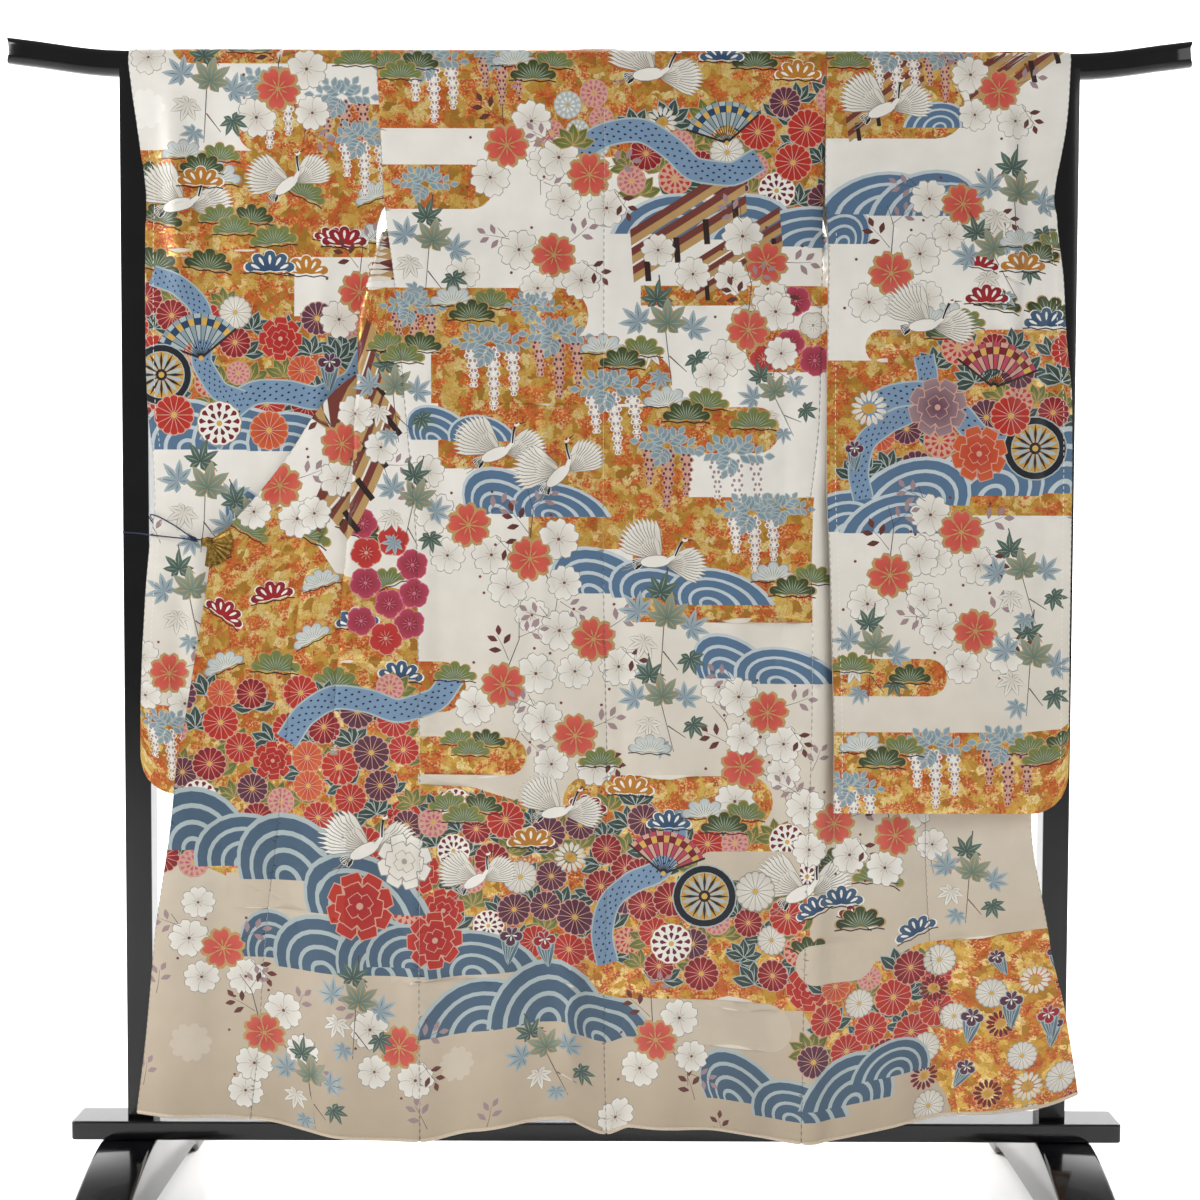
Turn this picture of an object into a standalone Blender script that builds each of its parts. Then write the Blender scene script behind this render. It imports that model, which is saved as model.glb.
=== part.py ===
"""A furisode shown from the back on a lacquered kimono stand, spread to show its pattern.

Metres, +Z up, floor at z = 0, origin on the floor under the middle of the bar.
X runs to the right of someone who faces the garment's back, and that side is -Y.
Cloth runs over the bar, and its panels hang in layers on the -Y side of the posts.
"""
import math
from collections import namedtuple

import bmesh
import bpy
from mathutils import Vector

NAME = "furisode_on_kimono_stand"

# Cloth: the wall stands for the lined silk
WALL = 0.002
SEAM = 0.0003
HALF_SEAM = SEAM / 2
SECTION_STEP = 0.0561  # usual height between two sections
COLLAR_WIDTH = 0.057
NECK_SQUARENESS = 0.62  # below 1, the neck's curve has squarer corners than an ellipse
NECK_DROP = 0.002
HEM_HEIGHT = 0.140  # the height that the hem's own table is measured against
SHOULDER_END = 1.480  # height where the sleeve seams end
POINT_HEIGHT = 1.340  # height of the pointed tops of the overlap strips

# Stand
BAR_TOP = 1.711
BAR_HEIGHT = 0.038
BAR_DEPTH = 0.030
BAR_CORNER = 0.013
BAR_HALF_LENGTH = 0.860
BAR_RISE = 0.019
BAR_RISE_START = 0.690
POST_SIZE = 0.038
POST_X = 0.675
CHEEK_RISE = 0.013
BOARD_HALF_LENGTH = 0.775
BOARD_DEPTH = 0.065
BOARD_BOTTOM = 0.115
BOARD_TOP = 0.143
FOOT_WIDTH = 0.082
FOOT_X = 0.690
FOOT_HALF_LENGTH = 0.310
FOOT_TIP_TOP = 0.036
PAD_INNER = 0.235
ARCH_HEIGHT = 0.022

# Fan clip and its cord
CLIP_X = -0.5640
CLIP_Z = 0.9980
CLIP_NEAR_Y = -0.0475  # the fan's outer face, just clear of the cloth
CLIP_FAR_Y = -0.0354  # the rear jaw's outer face
CLIP_WALL = 0.0015
CLIP_REACH = 0.0105  # how far the spring stands out past the fan's pivot
FAN_RADIUS = 0.036
FAN_PLATE = 0.0018
FAN_RIBS = 9
FAN_FROM = math.radians(36)
FAN_TO = math.radians(-98)
CORD_DIAMETER = 0.003

# The crest of the cloth: it rounds the bar's top at this radius, centred a little inside its corners
CREST_RADIUS = BAR_CORNER + 0.0016
CREST_Y = BAR_DEPTH / 2 - BAR_CORNER
CREST_Z = BAR_TOP - BAR_CORNER

Edge = namedtuple("Edge", "height x")
Depth = namedtuple("Depth", "height y")
Hem = namedtuple("Hem", "x z")

LEFT_SIDE = [  # sleeve seam above SHOULDER_END, side seam below it
    Edge(1.712, -0.3235), Edge(1.634, -0.3185), Edge(1.561, -0.3150), Edge(1.480, -0.3100),
    Edge(1.395, -0.2970), Edge(1.321, -0.2880), Edge(1.249, -0.2820), Edge(1.176, -0.2760),
    Edge(1.075, -0.2670), Edge(0.983, -0.2610), Edge(0.836, -0.2590), Edge(0.624, -0.2570),
    Edge(0.362, -0.2590), Edge(0.125, -0.2580),
]
RIGHT_SIDE = [
    Edge(1.712, 0.3280), Edge(1.490, 0.3240), Edge(1.328, 0.3190), Edge(1.179, 0.3165),
    Edge(1.113, 0.3110), Edge(1.050, 0.3045), Edge(0.982, 0.3050), Edge(0.859, 0.3100),
    Edge(0.726, 0.3100), Edge(0.626, 0.3080), Edge(0.333, 0.3020), Edge(0.122, 0.3000),
]
CENTRE = [
    Edge(1.712, 0.007), Edge(1.020, 0.007), Edge(0.837, 0.010), Edge(0.600, 0.015),
    Edge(0.287, 0.011), Edge(0.133, 0.015),
]
NEAR_BAR = [  # half of the gap between front and back cloth just below the crest
    Depth(1.698, 0.0166), Depth(1.690, 0.0196), Depth(1.680, 0.0212), Depth(1.600, 0.0216),
]
BODY_DEPTH = [  # the back panels, on the -Y side
    Depth(1.698, -0.0166), Depth(1.690, -0.0196), Depth(1.680, -0.0212), Depth(1.480, -0.0260),
    Depth(1.400, -0.0420), Depth(1.300, -0.0570), Depth(1.250, -0.0600), Depth(0.900, -0.0600),
    Depth(0.500, -0.0570), Depth(0.140, -0.0570),
]
HEM = [
    Hem(-0.672, 0.163), Hem(-0.577, 0.159), Hem(-0.500, 0.155), Hem(-0.428, 0.139),
    Hem(-0.334, 0.126), Hem(-0.257, 0.123), Hem(-0.179, 0.140), Hem(-0.051, 0.160),
    Hem(0.015, 0.134), Hem(0.050, 0.146), Hem(0.158, 0.145), Hem(0.300, 0.122),
    Hem(0.352, 0.128), Hem(0.464, 0.151), Hem(0.532, 0.162), Hem(0.633, 0.172), Hem(0.705, 0.192),
]

# The left front, opened out over the left sleeve. From the side seam it runs out to a tuck's edge,
# back in to the tuck's turn, and out again to the overlap seam and the outer fold or edge.
LeftRow = namedtuple("LeftRow", "height tuck turn seam fold front_y middle_y back_y")
LEFT_FRONT = [
    LeftRow(1.713, -0.300, -0.215, -0.062, -0.062, 0.0166, 0.0166, 0.0166),
    LeftRow(1.698, -0.300, -0.215, -0.072, -0.072, 0.0166, 0.0166, 0.0166),
    LeftRow(1.660, -0.298, -0.213, -0.090, -0.090, 0.0214, 0.0214, 0.0214),
    LeftRow(1.550, -0.292, -0.208, -0.096, -0.096, 0.0216, 0.0216, 0.0216),
    LeftRow(1.480, -0.290, -0.200, -0.108, -0.108, 0.0120, 0.0190, 0.0210),
    LeftRow(1.440, -0.3165, -0.165, -0.135, -0.135, -0.035, 0.0010, 0.0140),
    LeftRow(1.400, -0.326, -0.150, -0.176, -0.176, -0.045, -0.010, 0.0040),
    LeftRow(1.300, -0.345, -0.205, -0.246, -0.264, -0.057, -0.034, -0.014),
    LeftRow(1.254, -0.345, -0.235, -0.305, -0.331, -0.060, -0.052, -0.044),
    LeftRow(1.217, -0.347, -0.255, -0.335, -0.380, -0.060, -0.052, -0.0445),
    LeftRow(1.177, -0.350, -0.262, -0.347, -0.413, -0.060, -0.052, -0.0445),
    LeftRow(1.133, -0.351, -0.270, -0.353, -0.441, -0.060, -0.052, -0.0445),
    LeftRow(1.097, -0.353, -0.277, -0.360, -0.468, -0.060, -0.052, -0.0445),
    LeftRow(1.063, -0.356, -0.283, -0.372, -0.496, -0.060, -0.052, -0.0445),
    LeftRow(1.015, -0.360, -0.298, -0.397, -0.537, -0.060, -0.052, -0.0445),
    LeftRow(0.978, -0.363, -0.308, -0.412, -0.560, -0.060, -0.052, -0.0445),
    LeftRow(0.945, -0.366, -0.320, -0.425, -0.565, -0.060, -0.052, -0.0445),
    LeftRow(0.890, -0.370, -0.332, -0.436, -0.574, -0.060, -0.052, -0.0445),
    LeftRow(0.800, -0.376, -0.356, -0.446, -0.588, -0.060, -0.053, -0.0465),
    LeftRow(0.740, -0.380, -0.372, -0.450, -0.598, -0.057, -0.053, -0.0480),
    LeftRow(0.680, -0.375, -0.390, -0.456, -0.609, -0.051, -0.050, -0.049),
    LeftRow(0.578, -0.365, -0.400, -0.466, -0.620, -0.049, -0.049, -0.049),
    LeftRow(0.435, -0.368, -0.405, -0.483, -0.641, -0.049, -0.049, -0.049),
    LeftRow(0.248, -0.375, -0.415, -0.495, -0.659, -0.051, -0.051, -0.051),
    LeftRow(0.140, -0.380, -0.420, -0.506, -0.673, -0.053, -0.053, -0.053),
]

# The right front, opened out behind the right sleeve. Its cloth runs out to a fold, turns there
# and comes back on the far side as long as any of its width is left.
RightRow = namedtuple("RightRow", "height fold front_width overlap_width front_y rear_y")
RIGHT_FRONT = [
    RightRow(1.713, 0.3230, 0.252, 0.012, 0.0150, 0.0216),
    RightRow(1.698, 0.3230, 0.242, 0.012, 0.0150, 0.0216),
    RightRow(1.660, 0.3230, 0.232, 0.012, 0.0150, 0.0216),
    RightRow(1.480, 0.3230, 0.232, 0.012, 0.0150, 0.0216),
    RightRow(1.400, 0.3480, 0.234, 0.012, -0.0330, 0.0150),
    RightRow(1.300, 0.3900, 0.240, 0.022, -0.0420, 0.0050),
    RightRow(1.200, 0.4350, 0.240, 0.050, -0.0430, -0.0060),
    RightRow(1.100, 0.4750, 0.232, 0.090, -0.0430, -0.0150),
    RightRow(1.000, 0.5150, 0.220, 0.120, -0.0430, -0.0220),
    RightRow(0.900, 0.5550, 0.207, 0.140, -0.0430, -0.0270),
    RightRow(0.800, 0.5920, 0.195, 0.148, -0.0430, -0.0300),
    RightRow(0.700, 0.6200, 0.180, 0.150, -0.0430, -0.0310),
    RightRow(0.603, 0.6450, 0.172, 0.152, -0.0430, -0.0320),
    RightRow(0.406, 0.6900, 0.185, 0.172, -0.0430, -0.0330),
    RightRow(0.287, 0.7200, 0.207, 0.175, -0.0440, -0.0340),
    RightRow(0.140, 0.7500, 0.232, 0.175, -0.0450, -0.0350),
]

# Sleeves: outer edge and inner edge of the camera layer, and depth of the bag's middle.
# The bag closes at the outer edge below the wrist opening and along its bottom.
Sleeve = namedtuple("Sleeve", "height outer inner near_y far_y far_outer")
LEFT_SLEEVE = [
    Sleeve(1.698, 0.6810, 0.3245, -0.0166, 0.0166, 0.6810),
    Sleeve(1.690, 0.6805, 0.3240, -0.0198, 0.0198, 0.6800),
    Sleeve(1.680, 0.6790, 0.3230, -0.0216, 0.0216, 0.6780),
    Sleeve(1.640, 0.6740, 0.3200, -0.0222, 0.0222, 0.6700),
    Sleeve(1.600, 0.6680, 0.3175, -0.0228, 0.0210, 0.6500),
    Sleeve(1.556, 0.6620, 0.3155, -0.0236, 0.0150, 0.6480),
    Sleeve(1.523, 0.6570, 0.3140, -0.0245, 0.0030, 0.6475),
    Sleeve(1.493, 0.6545, 0.3115, -0.0256, -0.0140, 0.6475),
    Sleeve(1.470, 0.6545, 0.3170, -0.0266, -0.0212, 0.6500),
    Sleeve(1.447, 0.6560, 0.3220, -0.0275, -0.0222, 0.6560),
    Sleeve(1.282, 0.6570, 0.3220, -0.0280, -0.0224, 0.6570),
    Sleeve(1.199, 0.6550, 0.3220, -0.0280, -0.0224, 0.6550),
    Sleeve(1.111, 0.6465, 0.3220, -0.0280, -0.0224, 0.6465),
    Sleeve(1.054, 0.6450, 0.3220, -0.0280, -0.0224, 0.6450),
    Sleeve(0.986, 0.6540, 0.3220, -0.0280, -0.0224, 0.6540),
    Sleeve(0.907, 0.6610, 0.3220, -0.0280, -0.0224, 0.6610),
    Sleeve(0.761, 0.6680, 0.3240, -0.0280, -0.0224, 0.6680),
    Sleeve(0.628, 0.6690, 0.3260, -0.0280, -0.0224, 0.6690),
]
RIGHT_SLEEVE = [
    Sleeve(1.698, 0.6810, 0.3290, -0.0166, 0.0166, 0.6810),
    Sleeve(1.690, 0.6800, 0.3288, -0.0198, 0.0198, 0.6800),
    Sleeve(1.680, 0.6790, 0.3286, -0.0218, 0.0216, 0.6780),
    Sleeve(1.640, 0.6770, 0.3276, -0.0240, 0.0222, 0.6700),
    Sleeve(1.600, 0.6730, 0.3268, -0.0270, 0.0220, 0.6500),
    Sleeve(1.557, 0.6650, 0.3258, -0.0320, 0.0210, 0.6480),
    Sleeve(1.516, 0.6560, 0.3250, -0.0390, 0.0170, 0.6475),
    Sleeve(1.490, 0.6530, 0.3245, -0.0440, 0.0060, 0.6475),
    Sleeve(1.465, 0.6560, 0.3255, -0.0510, -0.0170, 0.6475),
    Sleeve(1.440, 0.6570, 0.3270, -0.0590, -0.0430, 0.6490),
    Sleeve(1.400, 0.6600, 0.3275, -0.0660, -0.0590, 0.6600),
    Sleeve(1.379, 0.6620, 0.3272, -0.0680, -0.0620, 0.6620),
    Sleeve(1.295, 0.6670, 0.3265, -0.0700, -0.0640, 0.6670),
    Sleeve(1.206, 0.6760, 0.3260, -0.0700, -0.0640, 0.6760),
    Sleeve(1.080, 0.6780, 0.3270, -0.0700, -0.0640, 0.6780),
    Sleeve(0.982, 0.6780, 0.3320, -0.0700, -0.0640, 0.6780),
    Sleeve(0.863, 0.6780, 0.3360, -0.0700, -0.0640, 0.6780),
    Sleeve(0.690, 0.6790, 0.3410, -0.0700, -0.0640, 0.6790),
    Sleeve(0.610, 0.6790, 0.3410, -0.0700, -0.0640, 0.6790),
]
SLEEVE_CORNER = 0.055

LACQUER = ("black_lacquer", (0.004, 0.004, 0.005), 0.08, 0.0)
SILK = ("printed_silk", (0.62, 0.52, 0.40), 0.55, 0.0)
BRASS = ("gilt_brass", (0.72, 0.50, 0.18), 0.28, 1.0)
ELASTIC = ("navy_elastic", (0.02, 0.03, 0.10), 0.70, 0.0)


def smooth_value(table, column, at, by="height"):
    """A column of a table read at a place between its rows, smoothly and without overshoot."""
    rows = sorted(table, key=lambda row: getattr(row, by))
    places = [getattr(row, by) for row in rows]
    values = [getattr(row, column) for row in rows]
    if at <= places[0]:
        return values[0]
    if at >= places[-1]:
        return values[-1]
    last = len(rows) - 2
    i = max(k for k in range(last + 1) if places[k] <= at)

    def secant(k):
        return (values[k + 1] - values[k]) / (places[k + 1] - places[k])

    def slope(k):
        if k == 0 or k == last + 1:
            return secant(min(k, last))
        below = secant(k - 1)
        above = secant(k)
        if below * above <= 0:
            return 0.0
        return 2 * below * above / (below + above)

    width = places[i + 1] - places[i]
    t = (at - places[i]) / width
    start = values[i] * (1 + 2 * t) * (1 - t) ** 2 + slope(i) * width * t * (1 - t) ** 2
    end = values[i + 1] * t * t * (3 - 2 * t) - slope(i + 1) * width * t * t * (1 - t)
    return start + end


def smoothstep(value):
    value = min(max(value, 0.0), 1.0)
    return value * value * (3 - 2 * value)


def over_crest(drop, offset=0.0):
    """Depth and height of cloth that has run this far down from the bar's crest."""
    radius = CREST_RADIUS + offset
    if drop < CREST_Y:
        return drop, CREST_Z + radius
    angle = (drop - CREST_Y) / radius
    if angle < math.pi / 2:
        return CREST_Y + radius * math.sin(angle), CREST_Z + radius * math.cos(angle)
    return CREST_Y + radius, CREST_Z - radius * (angle - math.pi / 2)


def crest_drops():
    """Distances down from the crest, from just beside the parting line to the bar's side."""
    end = CREST_Y + CREST_RADIUS * math.pi / 2
    return [HALF_SEAM + (end - HALF_SEAM) * i / 5 for i in range(5)]


def heights(top, bottom, step=SECTION_STEP):
    count = max(2, round((top - bottom) / step))
    return [top + (bottom - top) * i / count for i in range(count + 1)]


SHOULDER_HEIGHTS = [1.698, 1.689, 1.680, 1.640, 1.590, 1.540, 1.500]
SWING_HEIGHTS = [1.470, 1.440, 1.410]
HANGING_HEIGHTS = heights(1.374, HEM_HEIGHT)


def soft_folds(x, height):
    """The body's long vertical folds: hardly any at the shoulders, fullest at the hem."""
    growth = smoothstep((1.35 - height) / 1.15)
    broad = 0.0065 * math.sin(2 * math.pi * (x + 0.055) / 0.245)
    narrow = 0.0030 * math.sin(2 * math.pi * (x - 0.02) / 0.118 + 1.1)
    return growth * (broad + narrow)


def hem_drop(x, height):
    """How far the hem's own curve moves a section that is this high."""
    share = smoothstep((0.62 - height) / (0.62 - HEM_HEIGHT))
    return (smooth_value(HEM, "z", x, by="x") - HEM_HEIGHT) * share


def hung(x, y, height, folds=1.0):
    return (x, y + folds * soft_folds(x, height), height + hem_drop(x, height))


def spread(start, end, count):
    return [start + (end - start) * i / count for i in range(count + 1)]


def back_panel(side_table, sign):
    """One back panel, from the crest to the hem, between the centre seam and its side."""
    rows = []
    for drop in crest_drops():
        y, z = over_crest(drop)
        inner = smooth_value(CENTRE, "x", z) + sign * HALF_SEAM
        outer = smooth_value(side_table, "x", z) - sign * HALF_SEAM
        rows.append([(x, -y, z) for x in spread(inner, outer, 8)])
    for height in SHOULDER_HEIGHTS + SWING_HEIGHTS + HANGING_HEIGHTS:
        inner = smooth_value(CENTRE, "x", height) + sign * HALF_SEAM
        outer = smooth_value(side_table, "x", height) - sign * HALF_SEAM
        depth = smooth_value(BODY_DEPTH, "y", height)
        rows.append([hung(x, depth, height) for x in spread(inner, outer, 8)])
    return rows


def side_gap(height):
    """The front's share of the side seam's gap: wider where its cloth swings round to the seam."""
    return HALF_SEAM + 0.0012 * smoothstep((height - 1.28) / 0.10)


def swing(height):
    """How far a front has swung from the far side of the bar to its side seam: 0 to 1."""
    return smoothstep((1.500 - height) / 0.060)


def left_stations(height):
    return {
        name: smooth_value(LEFT_FRONT, name, height)
        for name in ("tuck", "turn", "seam", "fold", "front_y", "middle_y", "back_y")
    }


def left_front_section(height, side_y):
    """The left front's section at a height: out to the tuck, in to its turn, out to the seam."""
    row = left_stations(height)
    side = smooth_value(LEFT_SIDE, "x", height)
    side += HALF_SEAM if height > SHOULDER_END else -side_gap(height)
    seam = row["seam"] + HALF_SEAM
    reach = 0.004
    first = math.copysign(reach, row["tuck"] - side)
    second = math.copysign(reach, row["turn"] - row["tuck"])
    third = math.copysign(reach, seam - row["turn"])
    points = []
    for x in spread(side, row["tuck"] - first, 4):
        near = smoothstep(abs(x - side) / 0.035)
        points.append((x, side_y + (row["front_y"] - side_y) * near))
    inside_tuck = min(row["front_y"] + 0.008, row["middle_y"])
    points.append((row["tuck"], (row["front_y"] + inside_tuck) / 2))
    for i, x in enumerate(spread(row["tuck"] + second, row["turn"] - second, 3)):
        points.append((x, inside_tuck + (row["middle_y"] - inside_tuck) * i / 3))
    points.append((row["turn"], (row["middle_y"] + row["back_y"]) / 2))
    points += [(x, row["back_y"]) for x in spread(row["turn"] + third, seam, 4)]
    return points


def left_front():
    rows = []
    for drop in crest_drops():
        y, z = over_crest(drop)
        rows.append([(x, y, z) for x, _ in left_front_section(z, y)])
    for height in SHOULDER_HEIGHTS:
        near_bar = smooth_value(NEAR_BAR, "y", height)
        section = left_front_section(height, near_bar)
        rows.append([(x, near_bar, height) for x, _ in section])
    for height in SWING_HEIGHTS + HANGING_HEIGHTS:
        leaving = swing(height)
        body = smooth_value(BODY_DEPTH, "y", height)
        side_y = 0.0216 + (body - 0.0216) * leaving
        rows.append([hung(x, y, height) for x, y in left_front_section(height, side_y)])
    return rows


def left_overlap():
    rows = []
    for height in [level for level in HANGING_HEIGHTS if level < POINT_HEIGHT]:
        row = left_stations(height)
        xs = spread(row["seam"] - HALF_SEAM, row["fold"], 5)
        rows.append([hung(x, row["back_y"], height) for x in xs])
    return rows


def right_path(height):
    """Point on the right front's section, by its distance along the cloth from the side seam."""
    row = {
        name: smooth_value(RIGHT_FRONT, name, height)
        for name in ("fold", "front_width", "overlap_width", "front_y", "rear_y")
    }
    side = smooth_value(RIGHT_SIDE, "x", height)
    body = smooth_value(BODY_DEPTH, "y", height)
    opened = swing(height)
    side_y = 0.0216 + (body - 0.0216) * opened
    radius = (row["rear_y"] - row["front_y"]) / 2
    leg = max(row["fold"] - radius - side, 0.0)
    bend = math.pi * radius

    def point(along):
        if along < leg:
            near = smoothstep((along - 0.010) / 0.035)
            return side + along, side_y + (row["front_y"] - side_y) * near
        if along < leg + bend:
            angle = (along - leg) / radius
            return side + leg + radius * math.sin(angle), row["rear_y"] - radius * (1 + math.cos(angle))
        return side + leg - (along - leg - bend), row["rear_y"]

    def flat_or_folded(along):
        x, y = point(along)
        near_bar = smooth_value(NEAR_BAR, "y", height)
        flat = (side - along, near_bar)
        return (flat[0] + (x - flat[0]) * opened, flat[1] + (y - flat[1]) * opened)

    return flat_or_folded, leg, bend, row


def along_cloth(start, end, leg, bend, counts):
    """Places along a section, close together where it bends and even elsewhere."""
    margin = (end - start) * 0.22
    bend = min(bend, (end - start) * 0.4)
    first = min(max(leg, start + margin), end - margin - bend)
    before, within, after = counts
    places = spread(start, first, before)[:-1]
    places += spread(first, first + bend, within)[:-1]
    places += spread(first + bend, end, after)
    return places


def bent_seam_gap(row, leg, bend):
    """Half the gap of the overlap seam, wider where the seam lies on the fold itself."""
    away = (row["front_width"] - leg - bend / 2) / (bend / 2 + 0.020)
    return HALF_SEAM + 0.0009 * smoothstep(1.4 - abs(away))


def right_front():
    rows = []
    flat = [over_crest(drop) for drop in crest_drops()]
    flat += [(smooth_value(NEAR_BAR, "y", height), height) for height in SHOULDER_HEIGHTS]
    for y, z in flat:
        side = smooth_value(RIGHT_SIDE, "x", z) - HALF_SEAM
        inner = side - smooth_value(RIGHT_FRONT, "front_width", z)
        rows.append([(x, y, z) for x in spread(side, inner, 12)])
    for height in SWING_HEIGHTS + HANGING_HEIGHTS:
        path, leg, bend, row = right_path(height)
        start = side_gap(height)
        end = row["front_width"] - bent_seam_gap(row, leg, bend)
        places = [start] + along_cloth(start + 0.010, end, leg, bend, (4, 3, 4))
        rows.append([hung(*path(along), height) for along in places])
    return rows


def right_overlap():
    rows = []
    for height in [level for level in HANGING_HEIGHTS if level < POINT_HEIGHT]:
        path, leg, bend, row = right_path(height)
        start = row["front_width"] + bent_seam_gap(row, leg, bend)
        end = row["front_width"] + row["overlap_width"]
        places = along_cloth(start, end, leg, bend, (2, 3, 2))
        rows.append([hung(*path(along), height) for along in places])
    return rows


def collar_edge(height, sign):
    """Where the collar's sewn edge runs at a height, and the direction its width takes."""
    if sign < 0:
        row = left_stations(height)
        edge = row["fold"]
        y = row["back_y"]
        if height > SHOULDER_END:
            y = smooth_value(NEAR_BAR, "y", height)
        return edge, y
    if height > SHOULDER_END:
        side = smooth_value(RIGHT_SIDE, "x", height)
        return side - smooth_value(RIGHT_FRONT, "front_width", height), smooth_value(NEAR_BAR, "y", height)
    path, leg, bend, row = right_path(height)
    overlap = row["overlap_width"] if height < POINT_HEIGHT else 0.0
    return path(row["front_width"] + overlap)


def collar_side(sign, low):
    """The collar's run down one front edge, as sections from the sewn edge to the free edge."""
    sections = []
    levels = SHOULDER_HEIGHTS[4:] + SWING_HEIGHTS + HANGING_HEIGHTS
    for height in [level for level in levels if level > low] + [low]:
        edge, y = collar_edge(height, sign)
        above, _ = collar_edge(height + 0.02, sign)
        below, _ = collar_edge(height - 0.02, sign)
        lean = (above - below) / 0.04
        width = COLLAR_WIDTH * math.sqrt(1 + min(lean * lean, 1.2))
        section = []
        for share in (0.0, 0.12, 0.4, 0.7, 1.0):
            x = edge + sign * 0.001 - sign * (width + 0.001) * share
            stand_off = 0.0033 + 0.0025 * smoothstep(share / 0.4)
            section.append(hung(x, y + stand_off, height))
        sections.append(section)
    return sections


def collar():
    """One band: up the left front's edge, round the back of the neck and down the right."""
    left = collar_side(-1, 0.990)
    right = collar_side(1, 0.870)
    neck = []
    left_x = left[0][0][0]
    right_x = right[0][0][0]
    middle = (left_x + right_x) / 2
    half = (right_x - left_x) / 2
    fall = BAR_TOP - left[0][0][2]
    for i in range(1, 18):
        angle = math.pi * (1 - i / 18)
        across = math.copysign(abs(math.cos(angle)) ** NECK_SQUARENESS, math.cos(angle))
        up = math.sin(angle) ** NECK_SQUARENESS
        section = []
        for share in (0.0, 0.12, 0.4, 0.7, 1.0):
            inset = COLLAR_WIDTH * share
            x = middle + (half - inset) * across
            down = NECK_DROP + fall - (fall - inset) * up
            y, z = over_crest(down, 0.0033 + 0.0025 * smoothstep(share / 0.4))
            y += smooth_value(NEAR_BAR, "y", z) - NEAR_BAR[0].y
            section.append((x, y, z))
        neck.append(section)
    return left[::-1] + neck + right


def sleeve_inner(table, side_table, height):
    """The sleeve's edge on its body side: at the seam, or free below the seam's end."""
    if height >= SHOULDER_END:
        return abs(smooth_value(side_table, "x", height)) + SEAM
    return smooth_value(table, "inner", height)


def sleeve_point(table, side_table, sign, share, height, far, bottom):
    """A point of the sleeve's near or far layer; share runs from the inner to the outer edge."""
    outer = smooth_value(table, "far_outer" if far else "outer", height)
    inner = sleeve_inner(table, side_table, height)
    near_y = smooth_value(table, "near_y", height)
    far_y = smooth_value(table, "far_y", height)
    x = inner + (outer - inner) * share
    middle = (near_y + far_y) / 2
    half = (far_y - near_y) / 2
    sewn_half = (WALL + SEAM) / 2
    from_edge = (outer - x) / 0.05
    from_bottom = (height - bottom) / 0.07
    bag = smoothstep((1.47 - height) / 0.03)
    opening = min(1.0, math.sqrt(max(0.0, min(from_edge, 1.0) * min(from_bottom, 1.0))))
    half = half + (sewn_half + (half - sewn_half) * opening - half) * bag
    y = middle + half if far else middle - half
    wave = 0.5 * (1 - math.cos(2 * math.pi * (x - inner) / (outer - inner)))
    y -= 0.0016 * wave * smoothstep((1.6 - height) / 0.4)
    rounding = min(max(x - (outer - SLEEVE_CORNER), 0.0), SLEEVE_CORNER)
    raised = SLEEVE_CORNER - math.sqrt(max(SLEEVE_CORNER ** 2 - rounding ** 2, 0.0))
    zone = 0.16
    z = height
    if height < bottom + zone:
        z = bottom + raised + (height - bottom) * (zone - raised) / zone
    return (sign * x, y, z)


def sleeve(table, side_table, sign, bottom):
    """One sleeve: up its near layer, over the crest and down its far layer to the bottom."""
    shares = [0.0, 0.20, 0.42, 0.64, 0.86, 1.0]
    levels = SHOULDER_HEIGHTS[:3] + [1.640, 1.615, 1.590, 1.565] + heights(1.540, 1.420, 0.020)
    levels += heights(1.380, bottom + 0.17, 0.075)
    levels += [bottom + 0.12, bottom + 0.08, bottom + 0.045, bottom + 0.02, bottom]
    rows = []
    for height in reversed(levels):
        rows.append([sleeve_point(table, side_table, sign, share, height, False, bottom) for share in shares])
    outer = table[0].outer
    drops = crest_drops()
    for drop in reversed(drops):
        y, z = over_crest(drop)
        inner = sleeve_inner(table, side_table, z)
        rows.append([(sign * (inner + (outer - inner) * share), -y, z) for share in shares])
    for drop in drops[1:]:
        y, z = over_crest(drop)
        inner = sleeve_inner(table, side_table, z)
        rows.append([(sign * (inner + (outer - inner) * share), y, z) for share in shares])
    for height in levels:
        rows.append([sleeve_point(table, side_table, sign, share, height, True, bottom) for share in shares])
    return rows


def material(spec):
    name, colour, roughness, metallic = spec
    found = bpy.data.materials.get(name)
    if found:
        return found
    made = bpy.data.materials.new(name)
    made.use_nodes = True
    shader = made.node_tree.nodes["Principled BSDF"]
    shader.inputs["Base Color"].default_value = (*colour, 1.0)
    shader.inputs["Roughness"].default_value = roughness
    shader.inputs["Metallic"].default_value = metallic
    made.diffuse_color = (*colour, 1.0)
    return made


def add_object(name, mesh, spec, collection):
    mesh.materials.clear()
    mesh.materials.append(material(spec))
    made = bpy.data.objects.new(name, mesh)
    collection.objects.link(made)
    return made


def cloth_panel(name, rows, collection, spec=SILK):
    """A panel lofted through its sections, thickened evenly to the cloth's wall."""
    columns = len(rows[0])
    points = [point for row in rows for point in row]
    faces = []
    for i in range(len(rows) - 1):
        for j in range(columns - 1):
            a = i * columns + j
            faces.append((a, a + 1, a + columns + 1, a + columns))
    mesh = bpy.data.meshes.new(name)
    mesh.from_pydata(points, [], faces)
    mesh.validate()
    mesh.shade_smooth()
    made = add_object(name, mesh, spec, collection)
    wall = made.modifiers.new("wall", "SOLIDIFY")
    wall.thickness = WALL
    wall.offset = 0.0
    return made


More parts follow.
